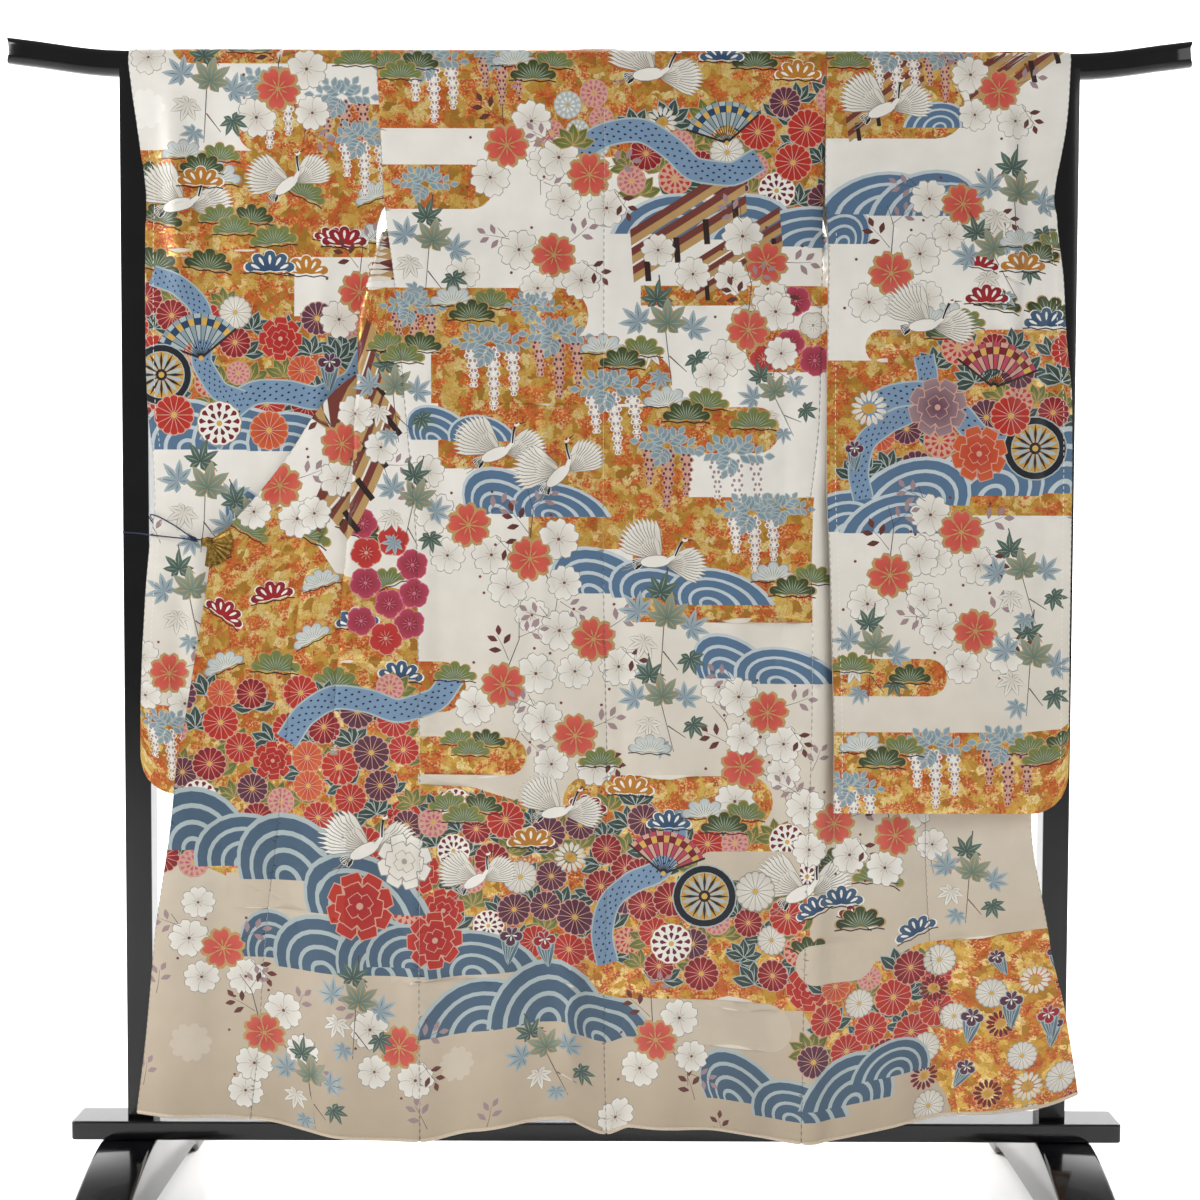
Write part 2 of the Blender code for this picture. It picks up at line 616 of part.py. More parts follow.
def finish_bmesh(name, work, spec, collection):
    bmesh.ops.recalc_face_normals(work, faces=work.faces)
    mesh = bpy.data.meshes.new(name)
    work.to_mesh(mesh)
    work.free()
    mesh.shade_smooth()
    mesh.set_sharp_from_angle(angle=math.radians(35))
    return add_object(name, mesh, spec, collection)


def rounded_section(half_width, half_height, corner, steps=4):
    """Corner-rounded rectangle as (across, up) points, counter-clockwise."""
    points = []
    for quarter in range(4):
        middle_angle = math.pi / 2 * quarter
        sign_a = 1 if quarter in (0, 3) else -1
        sign_b = 1 if quarter in (0, 1) else -1
        for i in range(steps + 1):
            angle = middle_angle + math.pi / 2 * i / steps
            across = sign_a * (half_width - corner) + corner * math.cos(angle)
            up = sign_b * (half_height - corner) + corner * math.sin(angle)
            points.append((across, up))
    return points


def loft(work, rings):
    """Closed tube through rings of equal count, capped at both ends."""
    levels = [[work.verts.new(point) for point in ring] for ring in rings]
    count = len(rings[0])
    for lower, upper in zip(levels, levels[1:]):
        for j in range(count):
            k = (j + 1) % count
            work.faces.new((lower[j], lower[k], upper[k], upper[j]))
    work.faces.new(levels[0][::-1])
    work.faces.new(levels[-1])


def bar(collection):
    """The cross bar: level between the posts, its ends rising and cut slantwise."""
    rings = []
    places = [0.0, 0.45, BAR_RISE_START, 0.74, 0.79, 0.83, 0.852]
    stations = [-x for x in reversed(places[1:])] + places
    for x in stations:
        lift = BAR_RISE * smoothstep((abs(x) - BAR_RISE_START) / (BAR_HALF_LENGTH - BAR_RISE_START) * 0.72) / 0.80
        ring = []
        for across, up in rounded_section(BAR_DEPTH / 2, BAR_HEIGHT / 2, BAR_CORNER):
            slant = 0.008 * up / (BAR_HEIGHT / 2) * smoothstep((abs(x) - 0.80) / 0.052)
            ring.append((x + math.copysign(slant, x), across, BAR_TOP - BAR_HEIGHT / 2 + up + lift))
        rings.append(ring)
    work = bmesh.new()
    loft(work, rings)
    made = finish_bmesh("bar", work, LACQUER, collection)
    return made


def post(name, x, collection, cutters):
    """A square post with rounded arrises, whose forked head holds the bar."""
    bpy.ops.mesh.primitive_cube_add(size=1.0)
    made = bpy.context.object
    made.name = name
    made.data.name = name
    low = BOARD_TOP + SEAM
    high = BAR_TOP - BAR_HEIGHT + CHEEK_RISE
    scale = Vector((POST_SIZE, POST_SIZE, high - low))
    for vertex in made.data.vertices:
        vertex.co = Vector((vertex.co.x * scale.x, vertex.co.y * scale.y, vertex.co.z * scale.z))
    made.location = (x, 0.0, (low + high) / 2)
    made.data.materials.append(material(LACQUER))
    move_to(made, collection)
    arris = made.modifiers.new("arrises", "BEVEL")
    arris.width = 0.004
    arris.segments = 3
    arris.limit_method = "ANGLE"
    seat = bpy.data.meshes.new(name + "_seat")
    work = bmesh.new()
    rings = []
    for place in (x - 0.06, x + 0.06):
        section = rounded_section(BAR_DEPTH / 2 + SEAM, BAR_HEIGHT / 2 + SEAM, BAR_CORNER + SEAM)
        rings.append([(place, across, BAR_TOP - BAR_HEIGHT / 2 + up) for across, up in section])
    loft(work, rings)
    bmesh.ops.recalc_face_normals(work, faces=work.faces)
    work.to_mesh(seat)
    work.free()
    cutter = bpy.data.objects.new(name + "_seat", seat)
    cutters.objects.link(cutter)
    cutter.hide_render = True
    cutter.display_type = "WIRE"
    cut = made.modifiers.new("seat", "BOOLEAN")
    cut.operation = "DIFFERENCE"
    cut.object = cutter
    return made


def move_to(made, collection):
    for holder in list(made.users_collection):
        holder.objects.unlink(made)
    collection.objects.link(made)


def foot_board(collection):
    bpy.ops.mesh.primitive_cube_add(size=1.0)
    made = bpy.context.object
    made.name = "foot_board"
    made.data.name = "foot_board"
    for vertex in made.data.vertices:
        vertex.co.x *= 2 * BOARD_HALF_LENGTH
        vertex.co.y *= BOARD_DEPTH
        vertex.co.z *= BOARD_TOP - BOARD_BOTTOM
    made.location = (0.0, 0.0, (BOARD_TOP + BOARD_BOTTOM) / 2)
    made.data.materials.append(material(LACQUER))
    move_to(made, collection)
    edge = made.modifiers.new("edges", "BEVEL")
    edge.width = 0.006
    edge.segments = 3
    edge.limit_method = "ANGLE"
    return made


def foot_top(reach):
    """Height of a foot's upper face at a distance from the middle: flat, then a long soft slope."""
    flat = BOARD_BOTTOM - SEAM
    if reach < 0.040:
        return flat
    share = (reach - 0.040) / (FOOT_HALF_LENGTH - 0.040)
    return flat - (flat - FOOT_TIP_TOP) * (0.55 * share ** 1.15 + 0.45 * smoothstep(share))


def foot_bottom(reach):
    """Height of a foot's lower face: arched between two pads that meet the floor."""
    if reach >= PAD_INNER + 0.014:
        return 0.0
    rise = smoothstep((PAD_INNER + 0.014 - reach) / 0.026)
    return ARCH_HEIGHT * (0.75 * rise + 0.25 * math.sqrt(max(1 - (reach / PAD_INNER) ** 2, 0.0)) * rise)


def foot(name, x, collection):
    """An arched foot: its side outline, carried across its width, with softened edges."""
    half = FOOT_WIDTH / 2
    reaches = [0.0, 0.040, 0.085, 0.130, 0.170, 0.205, 0.223, 0.231, 0.240, 0.249, 0.280, 0.303, FOOT_HALF_LENGTH]
    stations = [-reach for reach in reversed(reaches[1:])] + reaches
    work = bmesh.new()
    rings = []
    for y in stations:
        reach = abs(y)
        top = foot_top(reach)
        bottom = foot_bottom(reach)
        if reach > 0.305:
            top -= 0.006
        edge = 0.006
        rings.append([
            (x - half, y, bottom), (x + half, y, bottom), (x + half, y, top - edge),
            (x + half - edge * 0.3, y, top - edge * 0.3), (x + half - edge, y, top),
            (x - half + edge, y, top), (x - half + edge * 0.3, y, top - edge * 0.3),
            (x - half, y, top - edge),
        ])
    loft(work, rings)
    return finish_bmesh(name, work, LACQUER, collection)


def fan_clip(collection):
    """A small gilt fan on a spring clip, which grips the turned front's edge from outside."""
    work = bmesh.new()
    outline = [(0.0, 0.0)]
    steps = FAN_RIBS * 2
    for i in range(steps + 1):
        angle = FAN_FROM + (FAN_TO - FAN_FROM) * i / steps
        radius = FAN_RADIUS * (1.0 if i % 2 else 0.955)
        outline.append((radius * math.cos(angle), radius * math.sin(angle)))
    near = [work.verts.new((CLIP_X + a, CLIP_NEAR_Y, CLIP_Z + b)) for a, b in outline]
    far = [work.verts.new((CLIP_X + a, CLIP_NEAR_Y + FAN_PLATE, CLIP_Z + b)) for a, b in outline]
    count = len(outline)
    for j in range(count):
        k = (j + 1) % count
        work.faces.new((near[j], near[k], far[k], far[j]))
    work.faces.new(near)
    work.faces.new(far[::-1])
    bmesh.ops.triangulate(work, faces=[face for face in work.faces if len(face.verts) > 4])
    made = finish_bmesh("fan_clip", work, BRASS, collection)
    spring = bmesh.new()
    outside = -CLIP_REACH
    inside = CLIP_WALL - CLIP_REACH
    near_y = CLIP_NEAR_Y + 0.0003
    profile = [
        (0.004, near_y), (outside, near_y), (outside, CLIP_FAR_Y), (0.016, CLIP_FAR_Y),
        (0.016, CLIP_FAR_Y - CLIP_WALL), (inside, CLIP_FAR_Y - CLIP_WALL),
        (inside, near_y + 0.0012), (0.004, near_y + 0.0012),
    ]
    rings = [[(CLIP_X + a, y, CLIP_Z + z) for a, y in profile] for z in (-0.0065, 0.0065)]
    loft(spring, rings)
    arm = finish_bmesh("fan_clip_spring", spring, BRASS, collection)
    join = made.modifiers.new("spring", "BOOLEAN")
    join.operation = "UNION"
    join.object = arm
    return made, arm


def clip_cord(collection):
    """The elastic: from the clip over the sleeve, then once round the post."""
    away = POST_SIZE / 2 + CORD_DIAMETER / 2 + SEAM
    tie = 1.018
    route = [
        (CLIP_X - CLIP_REACH - SEAM, -0.0415, 1.0000), (CLIP_X - CLIP_REACH - 0.005, -0.0412, 1.0008),
        (-0.5950, -0.0375, 1.0130), (-0.6200, -0.0345, 1.0310),
        (-0.6400, -0.0335, 1.0390), (-0.6560, -0.0290, 1.0330),
    ]
    for step in range(16):
        degrees = -67.5 - 22.5 * step
        angle = math.radians(degrees)
        x = math.cos(angle)
        y = math.sin(angle)
        square = away / max(abs(x), abs(y))
        square = min(square, away * 1.40)
        route.append((-POST_X + x * square, y * square, tie + 0.004 * degrees / 390))
    curve = bpy.data.curves.new("clip_cord", "CURVE")
    curve.dimensions = "3D"
    curve.bevel_depth = CORD_DIAMETER / 2
    curve.bevel_resolution = 2
    curve.use_fill_caps = True
    spline = curve.splines.new("POLY")
    spline.points.add(len(route) - 1)
    for point, place in zip(spline.points, route):
        point.co = (*place, 1.0)
    made = bpy.data.objects.new("clip_cord", curve)
    curve.materials.append(material(ELASTIC))
    collection.objects.link(made)
    return made


def main():
    for old in list(bpy.data.objects):
        bpy.data.objects.remove(old, do_unlink=True)
    scene = bpy.context.scene
    parts = bpy.data.collections.new(NAME)
    cutters = bpy.data.collections.new("cutters")
    scene.collection.children.link(parts)
    scene.collection.children.link(cutters)

    bar(parts)
    post("post_left", -POST_X, parts, cutters)
    post("post_right", POST_X, parts, cutters)
    foot_board(parts)
    foot("foot_left", -FOOT_X, parts)
    foot("foot_right", FOOT_X, parts)

    cloth_panel("back_left", back_panel(LEFT_SIDE, -1), parts)
    cloth_panel("back_right", back_panel(RIGHT_SIDE, 1), parts)
    cloth_panel("front_left", left_front(), parts)
    cloth_panel("front_right", right_front(), parts)
    cloth_panel("okumi_left", left_overlap(), parts)
    cloth_panel("okumi_right", right_overlap(), parts)
    cloth_panel("collar", collar(), parts)
    cloth_panel("sleeve_left", sleeve(LEFT_SLEEVE, LEFT_SIDE, -1, 0.628), parts)
    cloth_panel("sleeve_right", sleeve(RIGHT_SLEEVE, RIGHT_SIDE, 1, 0.610), parts)

    clip, arm = fan_clip(parts)
    parts.objects.unlink(arm)
    cutters.objects.link(arm)
    arm.hide_render = True
    arm.display_type = "WIRE"
    clip_cord(parts)


main()
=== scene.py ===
"""The looks of a furisode shown from the back on a lacquered kimono stand.

Metres, +Z up, floor at z = 0. X runs to the right of someone who faces the garment's back, on -Y.
The dyed pattern is drawn as flat shapes on each panel, one over another, and every shape becomes
faces of the panel's own mesh, so that its edges stay as crisp as dye held back by paste.
"""
import math
import random
from collections import namedtuple
from functools import partial

import bmesh
import bpy
import numpy as np
from mathutils import Matrix, Vector
from mathutils.geometry import delaunay_2d_cdt


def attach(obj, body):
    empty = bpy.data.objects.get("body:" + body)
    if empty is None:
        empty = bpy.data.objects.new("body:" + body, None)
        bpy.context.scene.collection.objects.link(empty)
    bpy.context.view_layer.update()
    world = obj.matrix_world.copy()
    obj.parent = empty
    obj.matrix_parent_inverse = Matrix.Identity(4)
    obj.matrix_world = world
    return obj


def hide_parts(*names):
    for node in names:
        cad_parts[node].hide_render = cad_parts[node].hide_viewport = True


# Cloth, as in the model: the wall stands for outer silk and lining
WALL = 0.002
SEAM = 0.0001
HALF_SEAM = SEAM / 2
COLLAR_WIDTH = 0.057
COLLAR_HALF = 0.0012  # half of its thickness
COLLAR_TURN = 1.590  # where the collar leaves the fronts' edges for the neck
COLLAR_LEFT_END = 0.992
COLLAR_RIGHT_END = 0.872
NECK_SQUARENESS = 0.62
NECK_DROP = 0.002
HEM_HEIGHT = 0.140
HEM_ROLL = 0.0030  # radius of the padded roll that shows below the hem
FLARE_START = 0.62  # below this height the cloth begins to follow its hem's own line
SHOULDER_END = 1.480
OPENING = 1.500  # below this height a front panel hangs free of the bar
DRAWN_IN = 1.470  # above this height the left front is drawn in to the bar
SPREAD_TOP = 1.45  # below this height the right front is spread outwards
WRIST_BOTTOM = 1.47  # below this height a sleeve is closed at its outer edge
BAR_GAP = 0.0216  # from the bar's middle to the cloth beside it
POINT_HEIGHT = 1.340
LEFT_BAG_BOTTOM = 0.628
RIGHT_BAG_BOTTOM = 0.610
SLEEVE_CORNER = 0.055
ROUNDED_ZONE = 0.16  # how far up a sleeve its rounded corner draws the cloth together
SILK_OUT = 0.0010  # the dyed face's distance from the middle of the wall
SILK_IN = 0.0004  # the lining's, the other way
FOLD_STRENGTH = 2.3  # of a ridge towards the viewer, over its depth in the table of creases
SEAM_DIP = 0.0009
SEAM_REACH = 0.0035
SEAM_SHADE = 0.45  # how much of its colour a panel keeps along its sewn edge and its other edges, darkened as a painted shade for the shadow of a seam
EDGE_TUCK = 0.0013  # how far in from its edge a panel's painted seam shade reaches
STITCH_PITCH = 0.008
STITCH_LENGTH = 0.0042
STITCH_WIDTH = 0.0009
GRID = 0.010  # distance between a dyed face's own mesh points, and below a lining's
LINING_GRID = 0.014
MARGIN = 0.002  # how far a drawing may run past its panel's edge before it is cut

# Bar, and the crest of the cloth over it
BAR_TOP = 1.711
BAR_HEIGHT = 0.038
BAR_DEPTH = 0.030
BAR_CORNER = 0.013
BAR_HALF_LENGTH = 0.860
BAR_RISE = 0.019
BAR_RISE_START = 0.690
CREST_RADIUS = BAR_CORNER + 0.0016
CREST_Y = BAR_DEPTH / 2 - BAR_CORNER
CREST_Z = BAR_TOP - BAR_CORNER
CREST_TOP = CREST_Z + CREST_Y + CREST_RADIUS * math.pi / 2  # the crest, measured along the cloth

# Widths that the panels are drawn at, and where they end along the cloth
LEG = 0.1
OVERLAP = 0.16
RIGHT_WIDTH = 0.25
SLEEVE_WIDTH = 0.345
OVERLAP_TOP = 1.3179
TOP = CREST_TOP - HALF_SEAM
COLLAR_SHARES = np.linspace(0, 1, 7)

# Posts, foot board and feet
POST_SIZE = 0.038
POST_X = 0.675
CHEEK_RISE = 0.013
BOARD_HALF_LENGTH = 0.775
BOARD_DEPTH = 0.065
BOARD_BOTTOM = 0.115
BOARD_TOP = 0.143
FOOT_WIDTH = 0.082
FOOT_X = 0.690
FOOT_HALF_LENGTH = 0.310
FOOT_TIP_TOP = 0.036
FOOT_SEAT = 0.040
PAD_INNER = 0.235
ARCH_HEIGHT = 0.022

# Fan clip
CLIP_X = -0.5640
CLIP_Z = 0.9980
CLIP_NEAR_Y = -0.0475
CLIP_FAR_Y = -0.0354
CLIP_REACH = 0.0105
FAN_RADIUS = 0.036
FAN_RIBS = 9
FAN_FROM = math.radians(36)
FAN_TO = math.radians(-98)
CORD_RADIUS = 0.0010
KNOT_STEPS = 49

Edge = namedtuple("Edge", "height x")
Depth = namedtuple("Depth", "height y")
Hem = namedtuple("Hem", "x z")
Crease = namedtuple("Crease", "x_high x_low high low width depth fade")
Ground = namedtuple("Ground", "height colour")
Band = namedtuple("Band", "x0 x1 z0 z1 left right", defaults=[0, 0])
Wave = namedtuple("Wave", "x base across up lean", defaults=[0])
Spot = namedtuple("Spot", "kind x z size turn", defaults=[0])
Sort = namedtuple("Sort", "kind size share")
Field = namedtuple("Field", "outline sorts gap seed")


def table(kind, *rows):
    """Rows with named columns, from plain ones."""
    return [kind(*row) for row in rows]


# Sleeve seam above SHOULDER_END, side seam below it
LEFT_SIDE = table(Edge,
    (1.712, -0.3235), (1.634, -0.3185), (1.561, -0.315), (1.48, -0.31), (1.395, -0.297), (1.321, -0.288),
    (1.249, -0.282), (1.176, -0.276), (1.075, -0.267), (0.983, -0.261), (0.836, -0.259), (0.624, -0.257),
    (0.362, -0.259), (0.125, -0.258),
)
RIGHT_SIDE = table(Edge,
    (1.712, 0.328), (1.49, 0.324), (1.328, 0.319), (1.179, 0.3165), (1.113, 0.311), (1.05, 0.3045),
    (0.982, 0.305), (0.859, 0.31), (0.726, 0.31), (0.626, 0.308), (0.333, 0.302), (0.122, 0.3),
)
CENTRE = table(Edge,
    (1.712, 0.007), (1.02, 0.007), (0.837, 0.01), (0.6, 0.015), (0.287, 0.011), (0.133, 0.015),
)
# Half of the gap between front and back cloth just below the crest
NEAR_BAR = table(Depth, (1.698, 0.0166), (1.69, 0.0196), (1.68, 0.0212), (1.6, 0.0216))
# The back panels, on the -Y side
BODY_DEPTH = table(Depth,
    (1.698, -0.0166), (1.69, -0.0196), (1.68, -0.0212), (1.48, -0.026), (1.4, -0.042), (1.3, -0.057),
    (1.25, -0.06), (0.9, -0.06), (0.5, -0.057), (0.14, -0.057),
)
HEM = table(Hem,
    (-0.672, 0.163), (-0.577, 0.159), (-0.5, 0.155), (-0.428, 0.139), (-0.334, 0.126), (-0.257, 0.123),
    (-0.179, 0.14), (-0.051, 0.16), (0.015, 0.134), (0.05, 0.146), (0.158, 0.145), (0.3, 0.122),
    (0.352, 0.128), (0.464, 0.151), (0.532, 0.162), (0.633, 0.172), (0.705, 0.192),
)
# The left front, opened out over the left sleeve. From the side seam it runs out to a tuck's edge,
# back in to the tuck's turn, and out again to the overlap seam and the outer fold or edge.
LeftRow = namedtuple("LeftRow", "height tuck turn seam fold front_y middle_y back_y")
LEFT_FRONT = table(LeftRow,
    (1.713, -0.3, -0.215, -0.062, -0.062, 0.0166, 0.0166, 0.0166),
    (1.698, -0.3, -0.215, -0.072, -0.072, 0.0166, 0.0166, 0.0166),
    (1.66, -0.298, -0.213, -0.09, -0.09, 0.0214, 0.0214, 0.0214),
    (1.55, -0.292, -0.208, -0.096, -0.096, 0.0216, 0.0216, 0.0216),
    (1.48, -0.29, -0.2, -0.108, -0.108, 0.012, 0.019, 0.021),
    (1.44, -0.3165, -0.165, -0.135, -0.135, -0.035, 0.001, 0.014),
    (1.4, -0.326, -0.15, -0.176, -0.176, -0.045, -0.01, 0.004),
    (1.3, -0.345, -0.205, -0.246, -0.264, -0.057, -0.034, -0.014),
    (1.254, -0.345, -0.235, -0.305, -0.331, -0.06, -0.052, -0.044),
    (1.217, -0.347, -0.255, -0.335, -0.38, -0.06, -0.052, -0.0445),
    (1.177, -0.35, -0.262, -0.347, -0.413, -0.06, -0.052, -0.0445),
    (1.133, -0.351, -0.27, -0.353, -0.441, -0.06, -0.052, -0.0445),
    (1.097, -0.353, -0.277, -0.36, -0.468, -0.06, -0.052, -0.0445),
    (1.063, -0.356, -0.283, -0.372, -0.496, -0.06, -0.052, -0.0445),
    (1.015, -0.36, -0.298, -0.397, -0.537, -0.06, -0.052, -0.0445),
    (0.978, -0.363, -0.308, -0.412, -0.56, -0.06, -0.052, -0.0445),
    (0.945, -0.366, -0.32, -0.425, -0.565, -0.06, -0.052, -0.0445),
    (0.89, -0.37, -0.332, -0.436, -0.574, -0.06, -0.052, -0.0445),
    (0.8, -0.376, -0.356, -0.446, -0.588, -0.06, -0.053, -0.0465),
    (0.74, -0.38, -0.372, -0.45, -0.598, -0.057, -0.053, -0.048),
    (0.68, -0.375, -0.39, -0.456, -0.609, -0.051, -0.05, -0.049),
    (0.578, -0.365, -0.4, -0.466, -0.62, -0.049, -0.049, -0.049),
    (0.435, -0.368, -0.405, -0.483, -0.641, -0.049, -0.049, -0.049),
    (0.248, -0.375, -0.415, -0.495, -0.659, -0.051, -0.051, -0.051),
    (0.14, -0.38, -0.42, -0.506, -0.673, -0.053, -0.053, -0.053),
)

# The right front, opened out behind the right sleeve. Its cloth runs out to a fold, turns there
# and comes back on the far side as long as any of its width is left.
RightRow = namedtuple("RightRow", "height fold front_width overlap_width front_y rear_y")
RIGHT_FRONT = table(RightRow,
    (1.713, 0.323, 0.252, 0.012, 0.015, 0.0216),
    (1.698, 0.323, 0.242, 0.012, 0.015, 0.0216),
    (1.66, 0.323, 0.232, 0.012, 0.015, 0.0216),
    (1.48, 0.323, 0.232, 0.012, 0.015, 0.0216),
    (1.4, 0.348, 0.234, 0.012, -0.033, 0.015),
    (1.3, 0.39, 0.24, 0.022, -0.042, 0.005),
    (1.2, 0.435, 0.24, 0.05, -0.043, -0.006),
    (1.1, 0.475, 0.232, 0.09, -0.043, -0.015),
    (1.0, 0.515, 0.22, 0.12, -0.043, -0.022),
    (0.9, 0.555, 0.207, 0.14, -0.043, -0.027),
    (0.8, 0.592, 0.195, 0.148, -0.043, -0.03),
    (0.7, 0.62, 0.18, 0.15, -0.043, -0.031),
    (0.603, 0.645, 0.172, 0.152, -0.043, -0.032),
    (0.406, 0.69, 0.185, 0.172, -0.043, -0.033),
    (0.287, 0.72, 0.207, 0.175, -0.044, -0.034),
    (0.14, 0.75, 0.232, 0.175, -0.045, -0.035),
)

# Sleeves: outer edge and inner edge of the camera layer, and depth of the bag's middle.
# The bag closes at the outer edge below the wrist opening and along its bottom.
Sleeve = namedtuple("Sleeve", "height outer inner near_y far_y far_outer")
LEFT_SLEEVE = table(Sleeve,
    (1.698, 0.681, 0.3245, -0.0166, 0.0166, 0.681),
    (1.69, 0.6805, 0.324, -0.0198, 0.0198, 0.68),
    (1.68, 0.679, 0.323, -0.0216, 0.0216, 0.678),
    (1.64, 0.674, 0.32, -0.0222, 0.0222, 0.67),
    (1.6, 0.668, 0.3175, -0.0228, 0.021, 0.65),
    (1.556, 0.662, 0.3155, -0.0236, 0.015, 0.648),
    (1.523, 0.657, 0.314, -0.0245, 0.003, 0.6475),
    (1.493, 0.6545, 0.3115, -0.0256, -0.014, 0.6475),
    (1.47, 0.6545, 0.317, -0.0266, -0.0212, 0.65),
    (1.447, 0.656, 0.322, -0.0275, -0.0222, 0.656),
    (1.282, 0.657, 0.322, -0.028, -0.0224, 0.657),
    (1.199, 0.655, 0.322, -0.028, -0.0224, 0.655),
    (1.111, 0.6465, 0.322, -0.028, -0.0224, 0.6465),
    (1.054, 0.645, 0.322, -0.028, -0.0224, 0.645),
    (0.986, 0.654, 0.322, -0.028, -0.0224, 0.654),
    (0.907, 0.661, 0.322, -0.028, -0.0224, 0.661),
    (0.761, 0.668, 0.324, -0.028, -0.0224, 0.668),
    (0.628, 0.669, 0.326, -0.028, -0.0224, 0.669),
)
RIGHT_SLEEVE = table(Sleeve,
    (1.698, 0.681, 0.329, -0.0166, 0.0166, 0.681),
    (1.69, 0.68, 0.3288, -0.0198, 0.0198, 0.68),
    (1.68, 0.679, 0.3286, -0.0218, 0.0216, 0.678),
    (1.64, 0.677, 0.3276, -0.024, 0.0222, 0.67),
    (1.6, 0.673, 0.3268, -0.027, 0.022, 0.65),
    (1.557, 0.665, 0.3258, -0.032, 0.021, 0.648),
    (1.516, 0.656, 0.325, -0.039, 0.017, 0.6475),
    (1.49, 0.653, 0.3245, -0.044, 0.006, 0.6475),
    (1.465, 0.656, 0.3255, -0.051, -0.017, 0.6475),
    (1.44, 0.657, 0.327, -0.059, -0.043, 0.649),
    (1.4, 0.66, 0.3275, -0.066, -0.059, 0.66),
    (1.379, 0.662, 0.3272, -0.068, -0.062, 0.662),
    (1.295, 0.667, 0.3265, -0.07, -0.064, 0.667),
    (1.206, 0.676, 0.326, -0.07, -0.064, 0.676),
    (1.08, 0.678, 0.327, -0.07, -0.064, 0.678),
    (0.982, 0.678, 0.332, -0.07, -0.064, 0.678),
    (0.863, 0.678, 0.336, -0.07, -0.064, 0.678),
    (0.69, 0.679, 0.341, -0.07, -0.064, 0.679),
    (0.61, 0.679, 0.341, -0.07, -0.064, 0.679),
)


def smooth_at(places, values, at):
    """A smooth curve through values at rising places, without overshoot."""
    at = np.clip(np.asarray(at, dtype=float), places[0], places[-1])
    widths = np.diff(places)
    secants = np.diff(values) / widths
    slopes = np.concatenate(([secants[0]], np.zeros(len(places) - 2), [secants[-1]]))
    product = secants[:-1] * secants[1:]
    agree = product > 0
    slopes[1:-1][agree] = 2 * product[agree] / (secants[:-1] + secants[1:])[agree]
    i = np.clip(np.searchsorted(places, at, side="right") - 1, 0, len(places) - 2)
    width = widths[i]
    t = (at - places[i]) / width
    start = values[i] * (1 + 2 * t) * (1 - t) ** 2 + slopes[i] * width * t * (1 - t) ** 2
    end = values[i + 1] * t * t * (3 - 2 * t) - slopes[i + 1] * width * t * t * (1 - t)
    return start + end


def read(rows, column, at, by="height"):
    """A column of a table read at places between its rows."""
    rows = sorted(rows, key=lambda row: getattr(row, by))
    places, values = (np.array([getattr(row, name) for row in rows]) for name in (by, column))
    return smooth_at(places, values, at)


def smoothstep(value):
    value = np.clip(value, 0.0, 1.0)
    return value * value * (3 - 2 * value)


def mix(a, b, share):
    return a + (b - a) * share


def crest_angle(along):
    return np.clip((along - CREST_Z) / CREST_RADIUS, 0.0, math.pi / 2)


def crest(along):
    """Depth and height of cloth by its height along the cloth, which runs on past the bar's side."""
    angle = crest_angle(along)
    over = np.maximum(along - CREST_Z - CREST_RADIUS * math.pi / 2, 0.0)
    y = CREST_Y + CREST_RADIUS * np.cos(angle) - over
    return y, np.where(along < CREST_Z, along, CREST_Z + CREST_RADIUS * np.sin(angle))


def soft_folds(x, height):
    """The body's long vertical folds: hardly any at the shoulders, fullest at the hem."""
    broad = 0.0065 * np.sin(2 * math.pi * (x + 0.055) / 0.245)
    narrow = 0.0030 * np.sin(2 * math.pi * (x - 0.02) / 0.118 + 1.1)
    return smoothstep((1.35 - height) / 1.15) * (broad + narrow)


def creases(x, height):
    """Small ridges and troughs that the cloth keeps from its folding and from how it hangs."""
    depth = np.zeros_like(x)
    for fold in CREASES:
        middle = mix(fold.x_low, fold.x_high,
                     np.clip((height - fold.low) / (fold.high - fold.low), 0.0, 1.0))
        ends = smoothstep((height - fold.low) / fold.fade) * smoothstep((fold.high - height) / fold.fade)
        across = (x - middle) / fold.width
        strength = FOLD_STRENGTH if fold.depth < 0 else 1.0
        depth += strength * fold.depth * ends * np.exp(-across * across)
    return depth


def hung(x, y, height):
    """A place on the body's cloth with its long folds, and with its hem's own line."""
    share = smoothstep((FLARE_START - height) / (FLARE_START - HEM_HEIGHT))
    drop = (read(HEM, "z", x, by="x") - HEM_HEIGHT) * share
    return np.stack((x, y + soft_folds(x, height), height + drop), axis=-1)


def seam_dip(distance):
    """How far a panel's face sinks where it is sewn, by the distance from the seam."""
    return SEAM_DIP * np.exp(-(distance / SEAM_REACH) ** 2)


def back_place(side_table):
    """The back panel's middle surface, by its place across and its height along the cloth."""
    def place(points):
        x, along = points.T
        crest_y, crest_z = crest(along)
        low = hung(x, read(BODY_DEPTH, "y", along), along)
        surface = np.where((along < CREST_Z)[:, None], low, np.stack((x, -crest_y, crest_z), axis=-1))
        surface[:, 1] += sum(seam_dip(np.abs(x - read(edges, "x", along)))
                             for edges in (CENTRE, side_table))
        surface[:, 1] += creases(x, along)
        return surface
    return place


def swing(height):
    """How far the front's depth has swung out from the bar, from above its opening to below it."""
    return smoothstep((OPENING - height) / 0.060)


def bend_between(before, middle, after, share):
    """A parabola that leaves one leg and joins the next, through the middle at half way."""
    control = 2 * middle - (before + after) / 2
    return (1 - share) ** 2 * before + 2 * share * (1 - share) * control + share ** 2 * after


